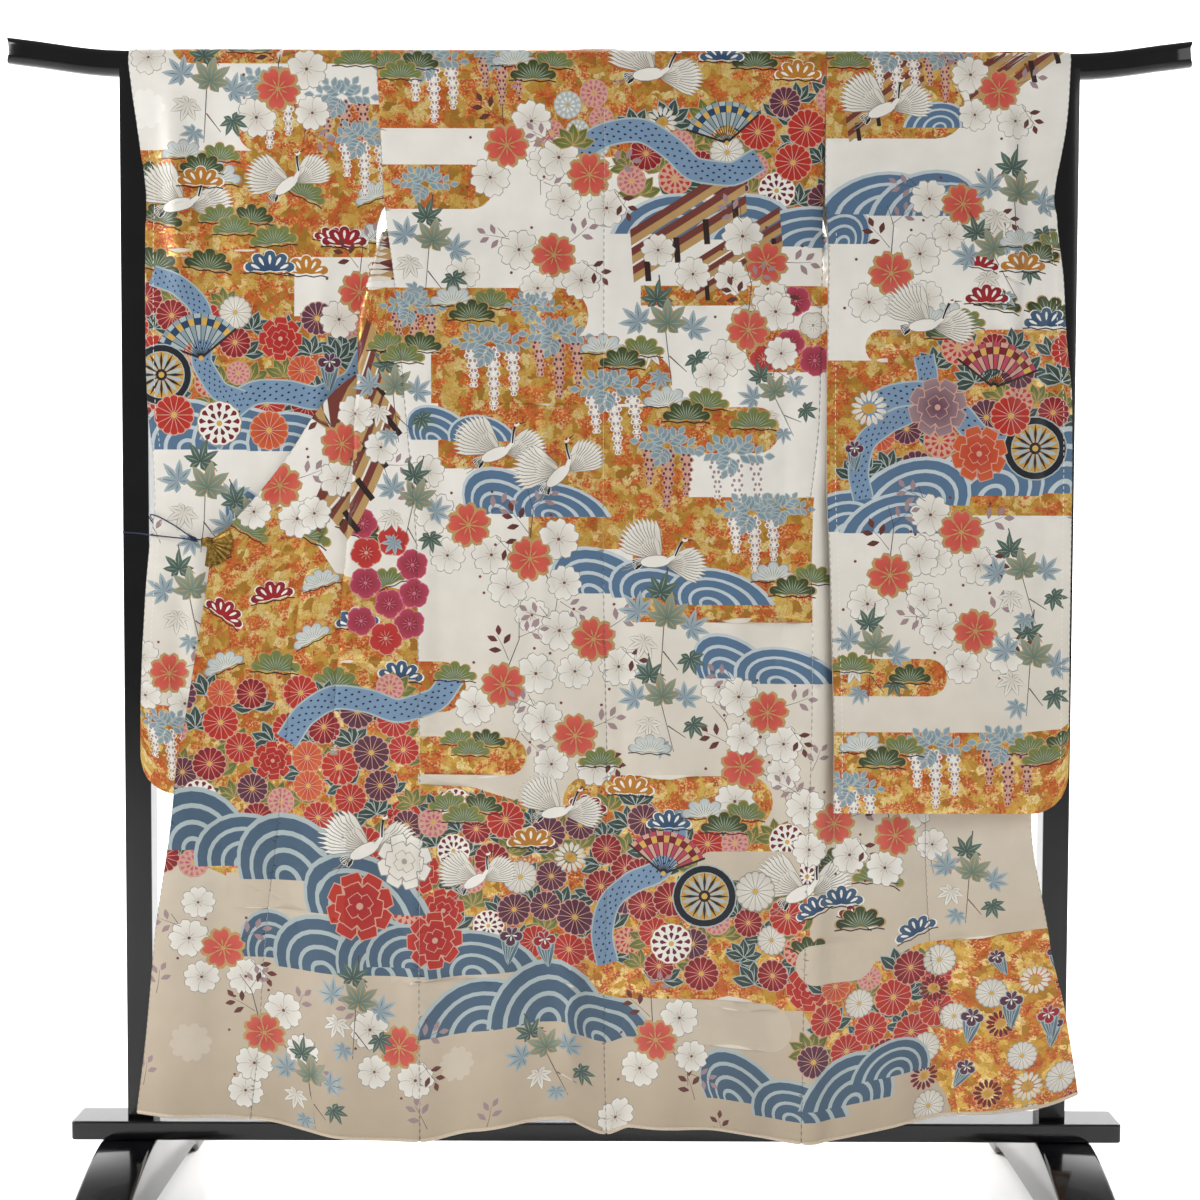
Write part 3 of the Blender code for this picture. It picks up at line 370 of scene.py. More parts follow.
def left_section(q, height):
    """The left front's section: three legs, each LEG long in drawing width, round two folds."""
    reach = 0.004
    half = 0.04
    tuck, turn, seam, front_y, middle_y, back_y = (
        read(LEFT_FRONT, name, height)
        for name in ("tuck", "turn", "seam", "front_y", "middle_y", "back_y"))
    side = read(LEFT_SIDE, "x", height) + np.where(height > SHOULDER_END, HALF_SEAM, -HALF_SEAM)
    seam = seam + HALF_SEAM
    first = np.copysign(reach, tuck - side)
    second = np.copysign(reach, turn - tuck)
    third = np.copysign(reach, seam - turn)
    t = q / LEG
    side_y = mix(BAR_GAP, read(BODY_DEPTH, "y", height), swing(height))
    x1 = mix(side, tuck - first, np.clip(t / (1 - half), 0.0, 1.0))
    y1 = mix(side_y, front_y, smoothstep(np.abs(x1 - side) / 0.035))
    x2 = mix(tuck + second, turn - second, np.clip((t - 1 - half) / (1 - 2 * half), 0.0, 1.0))
    inside = np.minimum(front_y + 0.008, middle_y)
    y2 = mix(inside, middle_y, np.clip(t - 1, 0.0, 1.0))
    x3 = mix(turn + third, seam, np.clip((t - 2 - half) / (1 - half), 0.0, 1.0))
    tuck_share = np.clip((t - 1 + half) / (2 * half), 0.0, 1.0)
    turn_share = np.clip((t - 2 + half) / (2 * half), 0.0, 1.0)
    tuck_x = bend_between(tuck - first, tuck, tuck + second, tuck_share)
    turn_x = bend_between(turn - second, turn, turn + third, turn_share)
    bends = [t < 1 - half, t < 1 + half, t < 2 - half, t < 2 + half]
    x = np.select(bends, [x1, tuck_x, x2, turn_x], x3)
    y = np.select(bends, [y1, mix(front_y, inside, tuck_share), y2, mix(middle_y, back_y, turn_share)],
                  back_y)
    return x, mix(y, read(NEAR_BAR, "y", height), smoothstep((height - DRAWN_IN) / 0.030))


def front_surface(section, across, along):
    """A front panel's surface: hung below its opening, and drawn up over the bar."""
    crest_y, crest_z = crest(along)
    height = np.minimum(crest_z, along)
    x, y = section(across, height)
    surface = np.where((along < OPENING)[:, None], hung(x, y, height), np.stack((x, y, height), axis=-1))
    surface[:, 1] = np.where(along < CREST_Z, surface[:, 1], crest_y)
    return surface, x, height


def left_front_place(points):
    across, along = points.T
    surface, x, _ = front_surface(left_section, across, along)
    surface[:, 1] += seam_dip(across) + seam_dip(3 * LEG - across)
    lower = smoothstep((1.40 - along) / 0.1)
    surface[:, 1] += lower * creases(x, along) * np.where(across < LEG, 1.0, 0.6)
    return surface


def left_overlap_place(points):
    across, height = points.T
    seam = read(LEFT_FRONT, "seam", height) - HALF_SEAM
    x = mix(seam, read(LEFT_FRONT, "fold", height), across / OVERLAP)
    surface = hung(x, read(LEFT_FRONT, "back_y", height), height)
    surface[:, 1] += seam_dip(np.abs(x - seam)) + 0.6 * creases(x, height)
    return surface


def right_section(along, height):
    """The right front's section, by the distance along the cloth from its side seam."""
    front_y, rear_y = (read(RIGHT_FRONT, name, height) for name in ("front_y", "rear_y"))
    side = read(RIGHT_SIDE, "x", height)
    opened = swing(height)
    side_y = mix(BAR_GAP, read(BODY_DEPTH, "y", height), opened)
    radius = (rear_y - front_y) / 2
    leg = np.maximum(read(RIGHT_FRONT, "fold", height) - radius - side, 0.0)
    bend = math.pi * radius
    angle = np.clip((along - leg) / np.maximum(radius, 1e-6), 0.0, math.pi)
    y_front = mix(side_y, front_y, smoothstep((along - 0.010) / 0.035))
    parts = [along < leg, along < leg + bend]
    returning = side + leg - (along - leg - bend)
    x = np.select(parts, [side + along, side + leg + radius * np.sin(angle)], returning)
    y = np.select(parts, [y_front, rear_y - radius * (1 + np.cos(angle))], rear_y)
    return mix(side - along, x, opened), mix(read(NEAR_BAR, "y", height), y, opened)


def right_front_place(points):
    along = points[:, 1]
    width = read(RIGHT_FRONT, "front_width", np.minimum(crest(along)[1], along))
    reach = points[:, 0] / RIGHT_WIDTH * (width - 2 * HALF_SEAM) + HALF_SEAM
    surface = front_surface(right_section, reach, along)[0]
    surface[:, 1] += seam_dip(reach) + seam_dip(width - reach)
    return surface


def right_overlap_place(points):
    across, height = points.T
    width = read(RIGHT_FRONT, "front_width", height)
    reach = width + HALF_SEAM + across / OVERLAP * read(RIGHT_FRONT, "overlap_width", height)
    surface = hung(*right_section(reach, height), height)
    surface[:, 1] += seam_dip(reach - width)
    return surface


def sleeve_place(rows, side_table, sign, bottom):
    """One sleeve, from its near layer's bottom over the crest to its far layer's bottom."""
    def place(points):
        far = points[:, 1] > CREST_TOP
        along = np.where(far, 2 * CREST_TOP - points[:, 1], points[:, 1])
        crest_y, crest_z = crest(along)
        height = np.minimum(crest_z, along)
        over = along >= CREST_Z
        inner, outer, far_outer, near_y, far_y = (
            read(rows, name, height) for name in ("inner", "outer", "far_outer", "near_y", "far_y"))
        inner = np.where(height >= SHOULDER_END, np.abs(read(side_table, "x", height)) + SEAM, inner)
        outer = np.where(far & ~over, far_outer, outer)
        x = mix(inner, outer, points[:, 0] / SLEEVE_WIDTH)
        half = (far_y - near_y) / 2
        from_edge = np.clip((outer - x) / 0.05, 0.0, 1.0)
        from_bottom = np.clip((height - bottom) / 0.07, 0.0, 1.0)
        open_half = mix((WALL + SEAM) / 2, half, np.sqrt(from_edge * from_bottom))
        half = mix(half, open_half, smoothstep((WRIST_BOTTOM - height) / 0.03))
        y = (near_y + far_y) / 2 + np.where(far, half, -half)
        wave = 0.5 * (1 - np.cos(2 * math.pi * (x - inner) / (outer - inner)))
        y -= 0.0016 * wave * smoothstep((1.6 - height) / 0.4)
        rounding = np.clip(x - (outer - SLEEVE_CORNER), 0.0, SLEEVE_CORNER)
        raised = SLEEVE_CORNER - np.sqrt(np.maximum(SLEEVE_CORNER ** 2 - rounding ** 2, 0.0))
        squeezed = bottom + raised + (height - bottom) * (ROUNDED_ZONE - raised) / ROUNDED_ZONE
        z = np.where(height < bottom + ROUNDED_ZONE, squeezed, height)
        y = np.where(over, np.where(far, crest_y, -crest_y), y)
        z = np.where(over, crest_z, z)
        y += creases(sign * x, height) * np.where(far, 0.5, 1.0)
        y += np.where(far, -1.0, 1.0) * seam_dip(x - inner) * (height > SHOULDER_END)
        return np.stack((sign * x, y, z), axis=-1)
    return place


def linear(code):
    """An sRGB hex colour as linear red, green, blue."""
    parts = [int(code[i:i + 2], 16) / 255 for i in (1, 3, 5)]
    return tuple(p / 12.92 if p <= 0.04045 else ((p + 0.055) / 1.055) ** 2.4 for p in parts)


Shape = namedtuple("Shape", "points near far centre reach gilt")


def shape(points, near, far=None, centre=(0.0, 0.0), reach=1.0, gilt=0.0):
    """One dyed area: its outline, and the colours at its centre and one reach away from it."""
    points, centre = (np.array(places, dtype=float) for places in (points, centre))
    return Shape(points, near, far or near, centre, reach, gilt)


def polar(across, up, degrees):
    return across * math.cos(math.radians(degrees)), up * math.sin(math.radians(degrees))


def turn_points(points, degrees):
    c, s = polar(1, 1, degrees)
    return np.asarray(points) @ np.array(((c, s), (-s, c)))


def moved(shapes, x=0, z=0, size=1, turn=0):
    """A motif drawn at its place: scaled, turned and moved."""
    return [part._replace(points=turn_points(part.points * size, turn) + (x, z),
                          centre=turn_points(part.centre * size, turn) + (x, z), reach=part.reach * size)
            for part in shapes]


def petal(length, width, blunt=0.5, notch=0.0, count=10, start=0.0):
    """A petal that points up from the origin, narrow at its base, with an optional notched tip."""
    points = []
    for i in range(count):
        angle = 2 * math.pi * i / count
        rise = (1 - math.cos(angle)) / 2
        across = width * math.sin(angle) * max(rise, 0.0) ** blunt
        dip = notch * math.exp(-((angle - math.pi) / 0.5) ** 2)
        points.append((across, start + length * (rise - dip)))
    return np.array(points)


def needle(length, width, start):
    return petal(length, width, 0.0, 0.0, 4, start)


def mirrored(right, length, width, start, tip):
    """An outline from its right half, given in shares of its width and length."""
    points = [(0.0, start)] + [(width * a, start + length * b) for a, b in right] + [(0.0, tip)]
    return np.array(points + [(-width * a, start + length * b) for a, b in right[::-1]])


def blossom_petal(length, width, start=0.0):
    """A cherry petal: round shoulders and a small notch at the tip."""
    right = [(0.26, 0.16), (0.68, 0.38), (0.98, 0.64), (0.88, 0.86), (0.45, 1.0)]
    return mirrored(right, length, width, start, start + length * 0.86)


def drop(inner, outer, width):
    """A petal shaped as a drop that points inwards."""
    return mirrored([(0.45, 0.35), (0.95, 0.72), (0.62, 0.93)], outer - inner, width, inner, outer)


def blade(length, width, start=0.0):
    """A pointed leaf or lobe."""
    return mirrored([(0.55, 0.20), (1.0, 0.48), (0.62, 0.76)], length, width, start, start + length)


def oval(x, z, across, up, turn=0.0, count=10):
    angles = np.linspace(0, 2 * math.pi, count, endpoint=False)
    points = np.stack((across * np.cos(angles), up * np.sin(angles)), axis=-1)
    return turn_points(points, turn) + (x, z)


def stroke(path, start, end=None):
    """A brush line of a width that may taper, as one outline."""
    path = np.array(path, dtype=float)
    steps = np.gradient(path, axis=0)
    sides = np.stack((-steps[:, 1], steps[:, 0]), axis=-1)
    sides /= np.maximum(np.linalg.norm(sides, axis=1, keepdims=True), 1e-9)
    widths = np.linspace(start, start if end is None else end, len(path))[:, None] / 2
    return np.concatenate((path + sides * widths, (path - sides * widths)[::-1]))[::-1]


def around(count, start=0.0):
    return [start + 360 * i / count for i in range(count)]


def turned(outline, angles, *tones, at=(0.0, 0.0), **more):
    """An outline at each of these angles, as dyed areas."""
    return [shape(turn_points(outline, angle) + at, *tones, **more) for angle in angles]


def disc(radius, count, *tones, **more):
    return [shape(oval(0, 0, radius, radius, count=count), *tones, **more)]


def sakura(fill, rim):
    """Cherry blossom in colour: five notched petals edged with gold, gold stamens."""
    return (turned(blossom_petal(1.0, 0.49), around(5), rim, gilt=0.4)
            + turned(blossom_petal(0.86, 0.36, 0.04), around(5), *fill)
            + turned(needle(0.40, 0.035, 0.08), around(10), rim, gilt=0.4) + disc(0.11, 6, rim, gilt=0.4))


def line_sakura():
    """Cherry blossom in white with a fine grey outline."""
    made = []
    for angle in around(5):
        made += turned(blossom_petal(1.0, 0.51), [angle], "stone")
        made += turned(blossom_petal(0.94, 0.475, 0.02), [angle], "shell", "white")
    return made + turned(needle(0.30, 0.018, 0.06), around(5), "stone") + disc(0.09, 5, "rosewood")


def plum_blossom(fill, rim):
    """Plum blossom: five round petals, fine stamens."""
    return (turned(petal(1.0, 0.60, 0.22, 0.0, 9), around(5), rim)
            + turned(petal(0.93, 0.53, 0.22, 0.0, 9, 0.02), around(5), *fill)
            + turned(needle(0.42, 0.022, 0.08), around(10), rim) + disc(0.12, 6, rim))


def sheen_sakura(tone):
    """Cherry blossom woven in the silk, shown by a painted sheen: a tone only a little lighter than the
    silk.
    """
    return turned(blossom_petal(1.0, 0.47), around(5), tone)


def wedge(count, inner, outer):
    """A chrysanthemum petal: narrow inside, as wide as its place allows outside, round at the tip."""
    half = math.pi / count * 0.94
    sides = [(inner, 0.45), (outer * 0.62, 0.92), (outer * 0.88, 1.0), (outer * 0.97, 0.62)]
    right = [(r * math.sin(half * a), r * math.cos(half * a)) for r, a in sides]
    return np.array(right + [(0.0, outer)] + [(-x, z) for x, z in right[::-1]])


def scalloped_disc(count, size=1.0):
    angles = np.linspace(0, 2 * math.pi, count * 4, endpoint=False)
    radius = size * (0.955 + 0.045 * np.abs(np.cos(angles * count / 2)))
    return np.stack((radius * np.sin(angles), radius * np.cos(angles)), axis=-1)[::-1]


def kiku(fill, rim, petals=14):
    """Chrysanthemum: wedge petals parted by fine lines, on a scalloped ground."""
    return ([shape(scalloped_disc(petals), rim)] + turned(wedge(petals, 0.14, 0.955), around(petals), *fill)
            + disc(0.15, 8, "gold", gilt=0.4))


def drop_kiku(fill, rim):
    """Chrysanthemum of separate drop petals in two rows on a pale scalloped ground."""
    return ([shape(scalloped_disc(13), "gilding", gilt=0.4), shape(scalloped_disc(13, 0.965), rim)]
            + turned(drop(0.58, 0.90, 0.130), around(13), *fill)
            + turned(drop(0.20, 0.54, 0.105), around(9), *fill) + disc(0.13, 8, "gold", gilt=0.4))


def daisy(fill, rim):
    """A small open chrysanthemum with loose petals and a broad golden heart."""
    made = []
    for outer in turned(petal(0.62, 0.16, 0.3, 0, 7, 0.38), around(14), rim):
        made += [outer, shape(outer.points * 0.94, *fill)]
    return made + [shape(oval(0, 0, 0.42, 0.30, count=12), rim),
                   shape(oval(0, 0, 0.37, 0.26, count=12), "ochre", "gold", reach=0.4, gilt=0.4)]


def scalloped(width, height, lobes=5):
    """A pine clump's outline: lobes along an arch over a wavy base."""
    points = []
    for i in range(lobes * 5 + 1):
        angle = math.pi * i / (lobes * 5)
        bump = 0.76 + 0.24 * abs(math.sin(lobes * angle)) ** 0.6
        points.append((width * math.cos(angle) * bump, height * math.sin(angle) * bump))
    for i in range(1, 8):
        share = i / 8
        points.append((width * 0.84 * (2 * share - 1), 0.07 * abs(math.sin(share * math.pi * 3))))
    return np.array(points)


def pine(fill, rim, mark, needles=False):
    """A pine clump on its twig: needles as fine rays, or one white drop in each lobe."""
    made = [shape(scalloped(1.0, 0.86) + (0, -0.03), rim), shape(scalloped(0.93, 0.79), *fill)]
    if needles:
        for i in range(13):
            angle = 6 + 14 * i
            length = (0.80 if i % 2 else 0.66) * math.hypot(*polar(1, 0.84, angle))
            made += turned(needle(length, 0.019, 0.06), [angle - 90], mark)
    else:
        for angle in range(26, 155, 32):
            made += turned(petal(0.36, 0.07, 0.3, 0, 7, -0.18), [angle - 90], mark,
                           at=polar(0.58, 0.46, angle))
    twig = [(-0.95, -0.04), (-0.6, -0.01), (-0.35, -0.08), (0, -0.02), (0.3, -0.09), (0.62, -0.03),
            (0.9, -0.10)]
    return made + [shape(stroke(twig, 0.05), "bark")]


LOBES = ((0, 1.0), (44, 0.94), (-44, 0.94), (86, 0.78), (-86, 0.78), (130, 0.52), (-130, 0.52))


def maple(fill, rim, vein, gilt=0.0):
    """Maple leaf: seven pointed lobes with a pale vein in each."""
    rims, lobes, veins = [], [], []
    for angle, size in LOBES:
        rims += turned(blade(size * 1.06, 0.205, -0.03), [-angle], rim, gilt=gilt)
        lobes += turned(blade(size, 0.165), [-angle], *fill)
        veins += turned(needle(size * 0.78, 0.020, 0.06), [-angle], vein, gilt=gilt)
    return (rims if rim else []) + lobes + veins


def sprig(fill):
    """Slender leaves that stand off a thin stem, two to a side."""
    made = [shape(stroke([(0, -0.9), (0.03, -0.2), (0, 0.5)], 0.035, 0.015), "twig")]
    for x, z, angle, length in ((-0.12, -0.30, 62, 0.66), (0.12, -0.05, -58, 0.64), (-0.10, 0.22, 40, 0.60),
                                (0.08, 0.45, -20, 0.56)):
        made += turned(blade(length, 0.155), [angle], *fill, at=(x, z))
    return made


def leaf_rosette(fill, rim):
    """The lobed leaves that stand behind a chrysanthemum or peony."""
    made = []
    for angle in (-78, -40, 0, 40, 78):
        made += turned(blade(1.04, 0.29, -0.02), [angle], rim)
        made += turned(blade(0.94, 0.235, 0.03), [angle], *fill)
        made += turned(needle(0.72, 0.022, 0.1), [angle], rim)
    return made


def raceme(x, top, length, width, rim, fill):
    """A hanging wisteria flower head: florets in staggered rows that narrow to a drooping tip."""
    made = []
    rows = int(length * 13)
    for k in range(rows):
        share = k / rows
        size = 0.058 * (1 - 0.30 * share)
        for side in (-1, 0, 1) if k % 2 else (-0.5, 0.5):
            spot = (x + 0.05 * math.sin(2.2 * share) + side * (width * (1 - 0.70 * share)),
                    top - length * share)
            made += turned(petal(size * 1.9, size, 0.2, 0, 6, -size), [180 + 24 * side], rim, at=spot)
            if side:
                made.append(shape(oval(*spot, size * 0.5, size * 0.6, 0, 5), fill))
    return made


def leaflets():
    """Pinnate leaves with pale edges: pairs of leaflets along drooping stalks."""
    made = []
    for lean, reach in ((-72, 0.52), (66, 0.50), (-24, 0.34), (30, 0.36), (150, 0.30)):
        bend = {-72: -0.5, 66: 0.5, -24: -0.3, 30: 0.3, 150: 0.2}[lean]
        for k in range(4):
            share = (k + 0.7) / 4
            angle = lean + 40 * bend * share
            spot = turn_points([(0.0, reach * share)], angle)[0] * (1, 0.8)
            size = 0.24 * (1 - 0.25 * share)
            for side in (-52, 52) if k < 3 else (0,):
                made += turned(blade(size, 0.066), [angle + side], "haze", at=spot)
                made += turned(blade(size * 0.84, 0.044, 0.02), [angle + side], "slate", "frost", at=spot,
                               reach=0.3)
    return made


def wisteria(rim, fill):
    """Wisteria: racemes of three lengths under a spread of pinnate leaves."""
    return (raceme(-0.30, -0.10, 0.62, 0.085, rim, fill) + raceme(0.34, -0.12, 0.74, 0.085, rim, fill)
            + raceme(0.02, -0.08, 1.0, 0.100, rim, fill) + leaflets())


def iris(bloom, rim="haze"):
    """Water iris: a sheaf of blades and one flower of three falls."""
    made = []
    for lean, length in ((-17, 0.86), (-9, 1.0), (0, 1.12), (9, 1.02), (18, 0.84)):
        made += turned(petal(length, 0.075, 0.1, 0, 8), [-lean], rim, at=(0, -0.9))
        made += turned(petal(length * 0.97, 0.05, 0.1, 0, 7), [-lean], "slate", "pond", at=(0, -0.9))
    for angle in (-100, 100, 180):
        made += turned(petal(0.36, 0.20, 0.35, 0, 9), [angle], rim)
        made += turned(petal(0.32, 0.165, 0.35, 0, 9, 0.01), [angle], *bloom, reach=0.36)
    for angle in (-28, 28):
        made += turned(petal(0.30, 0.10, 0.3, 0, 7), [angle], rim)
        made += turned(petal(0.26, 0.075, 0.3, 0, 7, 0.01), [angle], bloom[1])
    return made + turned(petal(0.16, 0.03, 0.2, 0, 6, 0.02), (-100, 100, 180), "white")


def peony(fill, line):
    """Tree peony: three rings of ruffled petals, each with a pale line round it."""
    made = []
    for count, start, length, width in ((8, 0.36, 0.66, 0.36), (6, 0.12, 0.62, 0.34), (4, 0.0, 0.42, 0.24)):
        angles = around(count, 360 / count * 0.37)
        made += turned(petal(length, width, 0.25, 0.14, 8, start), angles, line)
        made += turned(petal(length * 0.93, width * 0.88, 0.25, 0.14, 8, start + length * 0.02), angles,
                       *fill)
    return made + disc(0.10, 8, line)


def feather_fan(origin, first, last, count, length, dip, width):
    made = []
    for i in range(count):
        share = i / (count - 1)
        angle = mix(first, last, share) - 90
        reach = length * (1 - dip * (1 - math.sin(math.pi * (0.25 + 0.6 * share))))
        made += turned(petal(reach, width, 0.25, 0, 6), [angle], "quill", at=origin)
        made += turned(petal(reach * 0.975, width * 0.78, 0.25, 0, 6, 0.01), [angle], "shell", "white",
                       at=origin)
    return made


def crane():
    """A crane in flight, white with black neck and tail."""
    made = []
    for angle in (196, 205, 214, 224, 234):
        made += turned(petal(0.26, 0.055, 0.3, 0, 7, 0.02), [angle - 90], "white", at=(-0.22, -0.06))
        made += turned(petal(0.24, 0.038, 0.3, 0, 7, 0.03), [angle - 90], "ink", at=(-0.22, -0.06))
    for leg in ([(-0.25, -0.08), (-0.55, -0.26), (-0.66, -0.28)],
                [(-0.24, -0.10), (-0.52, -0.31), (-0.62, -0.36)]):
        made.append(shape(stroke(leg, 0.022, 0.012), "stone"))
    for wing in (((0.06, 0.02), 178, 112, 13, 0.98, 0.35, 0.080),
                 ((0.10, 0.0), -18, 38, 12, 0.88, 0.40, 0.075),
                 ((0.05, 0.02), 168, 118, 8, 0.52, 0.2, 0.075), ((0.12, 0.0), -8, 32, 7, 0.46, 0.2, 0.075)):
        made += feather_fan(*wing)
    neck = [(0.18, 0.04), (0.30, 0.16), (0.33, 0.34), (0.37, 0.47)]
    for outline, tone in (
        (oval(-0.04, -0.03, 0.30, 0.125, 18, 12), "quill"),
        (oval(-0.04, -0.03, 0.288, 0.113, 18, 12), "white"),
        (stroke(neck, 0.11, 0.055), "stone"), (stroke(neck, 0.09, 0.04), "white"),
        (stroke(neck[1:], 0.03, 0.045), "ink"), (oval(0.41, 0.51, 0.06, 0.04, 20, 8), "white"),
        (oval(0.41, 0.535, 0.035, 0.018, 20, 6), "crimson"),
        (stroke([(0.46, 0.52), (0.60, 0.55)], 0.028, 0.004), "bark"),
    ):
        made.append(shape(outline, tone))
    return made


def wheel():
    """A cart wheel, the old court motif: a lacquered rim and gold spokes."""
    return (disc(1, 26, "haze") + disc(0.96, 26, "ink") + disc(0.76, 24, "haze")
            + disc(0.73, 24, "ochre", "gold", gilt=0.4)
            + turned(needle(0.66, 0.045, 0.12), around(12), "ink")
            + turned(petal(0.60, 0.10, 0.6, 0, 6, 0.12), around(12, 15), "haze")
            + disc(0.19, 10, "ink") + disc(0.10, 8, "gold", gilt=0.4))


def open_fan(paper, band):
    """An open folding fan: striped paper over lacquered sticks."""
    made = []
    blades = 12
    for i in range(blades):
        first, last = (150 - 120 * k / blades for k in (i, i + 1))
        for inner, outer, tones, gilt in ((0.42, 1.0, paper, 0.0), (0.74, 0.90, band, 0.3)):
            corners = ((inner, first), (outer, first), (outer, last), (inner, last))
            made.append(shape([polar(r, r, angle) for r, angle in corners], tones[i % 2], gilt=gilt))
        made.append(shape(stroke([(0, 0), polar(1.0, 1.0, first)], 0.018), "ink"))
    made += [shape(stroke([(0, 0), polar(1.03, 1.03, angle)], 0.05), "bark") for angle in (150, 30)]
    return made + disc(0.06, 7, "gold", gilt=0.4)


def ribbon(path, width):
    """A dotted silk ribbon along a curve."""
    bends = np.array(path, dtype=float)
    steps = np.linspace(0, len(bends) - 1, 5 * len(bends))
    path = np.stack([smooth_at(np.arange(len(bends)), bends[:, axis], steps) for axis in (0, 1)], axis=-1)
    made = [shape(stroke(path, width * 1.16), "haze"), shape(stroke(path, width), "pool")]
    for number, (a, b) in enumerate(zip(path, path[1:])):
        normal = np.array((-(b - a)[1], (b - a)[0])) / max(np.linalg.norm(b - a), 1e-9)
        for row in (-0.34, 0.0, 0.34) if number % 2 else (-0.17, 0.17):
            spot = mix(a, b, 0.5) + normal * width * row
            made.append(shape(oval(*spot, width * 0.075, width * 0.05, 0, 5), "ink"))
    return made


def planks(length, lines, rise):
    """Plank steps over water: slanting brown boards on short posts."""
    made = []
    for i in range(lines):
        for low, high, tone, gilt in ((0, 0.10, "gilding", 0.3), (0.07, 0.14, "rosewood", 0.0)):
            near, far = 0.16 * i, 0.16 * i + rise
            corners = [(0, near + low), (length, far + low), (length, far + high), (0, near + high)]
            made.append(shape(corners, tone, gilt=gilt))
    for i in range(4):
        x = length * (0.1 + 0.26 * i)
        foot = rise * x / length - 0.05
        made.append(shape([(x, foot), (x + 0.05, foot), (x + 0.05, foot + 0.22), (x, foot + 0.22)], "bark"))
    return made


def joined(*parts):
    """A motif of several: each a list of shapes with its place, size and turn."""
    return [part for placed_motif in parts for part in moved(*placed_motif)]


def buds(*spots):
    return [shape(oval(x, z, 0.07, 0.07, count=6), "rosewood") for x, z in spots]


def stems(*paths, width=0.045):
    return [shape(stroke(path, width, width * 0.5), "twig") for path in paths]


def waves(humps, tones):
    """Overlapping wave crests, each a stack of half rings on a level base, back ones first.

    A hump is its middle, base, half width, height and lean; its rings keep one common edge.
    """
    made = []
    angles = np.linspace(0, math.pi, 15)
    for x, base, across, up, lean in humps:
        for k in range(8):
            scale = 1 - (k // 2) * 0.26 - (k % 2) * 0.075
            z = up * scale * np.sin(angles)
            side = x + across * scale * np.cos(angles) + lean * (z + up * (1 - scale) * 0.8)
            made.append(shape(np.stack((side, base + z), axis=-1), tones[1 - k % 2]))
    return made


def mist(x0, x1, z0, z1, left, right):
    """A cloud band of gold leaf with square or rounded ends."""
    radius = (z1 - z0) / 2
    middle = (z0 + z1) / 2
    bend = np.linspace(-math.pi / 2, math.pi / 2, 11)
    points = [(x1, z0), (x1, z1)]
    if right:
        points = [(x1 - radius + radius * math.cos(a), middle + radius * math.sin(a)) for a in bend]
    if left:
        return points + [(x0 + radius - radius * math.cos(a), middle + radius * math.sin(a)) for a in -bend]
    return points + [(x0, z1), (x0, z0)]


# X at the high end and at the low end, heights, half width, depth towards +Y, fade
CREASES = table(Crease,
    (-0.56, -0.545, 1.7, 1.24, 0.022, 0.003, 0.12), (-0.62, -0.6, 1.69, 1.3, 0.016, -0.0028, 0.12),
    (-0.47, -0.5, 1.64, 0.9, 0.016, 0.0016, 0.16), (-0.395, -0.42, 1.5, 0.8, 0.014, -0.0012, 0.16),
    (-0.61, -0.615, 1.04, 0.7, 0.014, 0.0032, 0.12), (-0.58, -0.59, 1.0, 0.72, 0.012, -0.002, 0.12),
    (0.62, 0.606, 1.69, 1.2, 0.012, 0.0034, 0.14), (0.59, 0.585, 1.69, 1.1, 0.012, -0.0024, 0.14),
    (0.645, 0.636, 1.56, 0.8, 0.01, 0.003, 0.16), (0.48, 0.5, 1.6, 0.82, 0.022, 0.0022, 0.2),
    (0.4, 0.41, 1.5, 0.7, 0.015, -0.0016, 0.2), (0.555, 0.56, 1.4, 0.66, 0.014, 0.0018, 0.18),
    (-0.14, -0.16, 1.66, 0.82, 0.02, 0.0018, 0.25), (-0.07, -0.085, 1.56, 0.5, 0.012, -0.0018, 0.25),
    (0.11, 0.12, 1.5, 0.56, 0.018, 0.0022, 0.25), (0.21, 0.2, 1.64, 0.62, 0.016, -0.0018, 0.25),
    (-0.225, -0.235, 1.3, 0.42, 0.012, 0.0018, 0.22), (0.03, 0.045, 1.0, 0.2, 0.012, 0.0028, 0.16),
    (-0.03, -0.045, 0.52, 0.14, 0.016, -0.005, 0.14), (0.272, 0.262, 1.32, 0.7, 0.01, 0.0024, 0.16),
    (-0.47, -0.48, 0.9, 0.3, 0.012, 0.0014, 0.18), (-0.56, -0.59, 0.7, 0.18, 0.013, -0.0016, 0.16),
)

GROUND = table(Ground,
    (0.1, "sand"), (0.45, "cream"), (0.75, "ivory"), (1.1, "snow"), (1.75, "snow"),
)

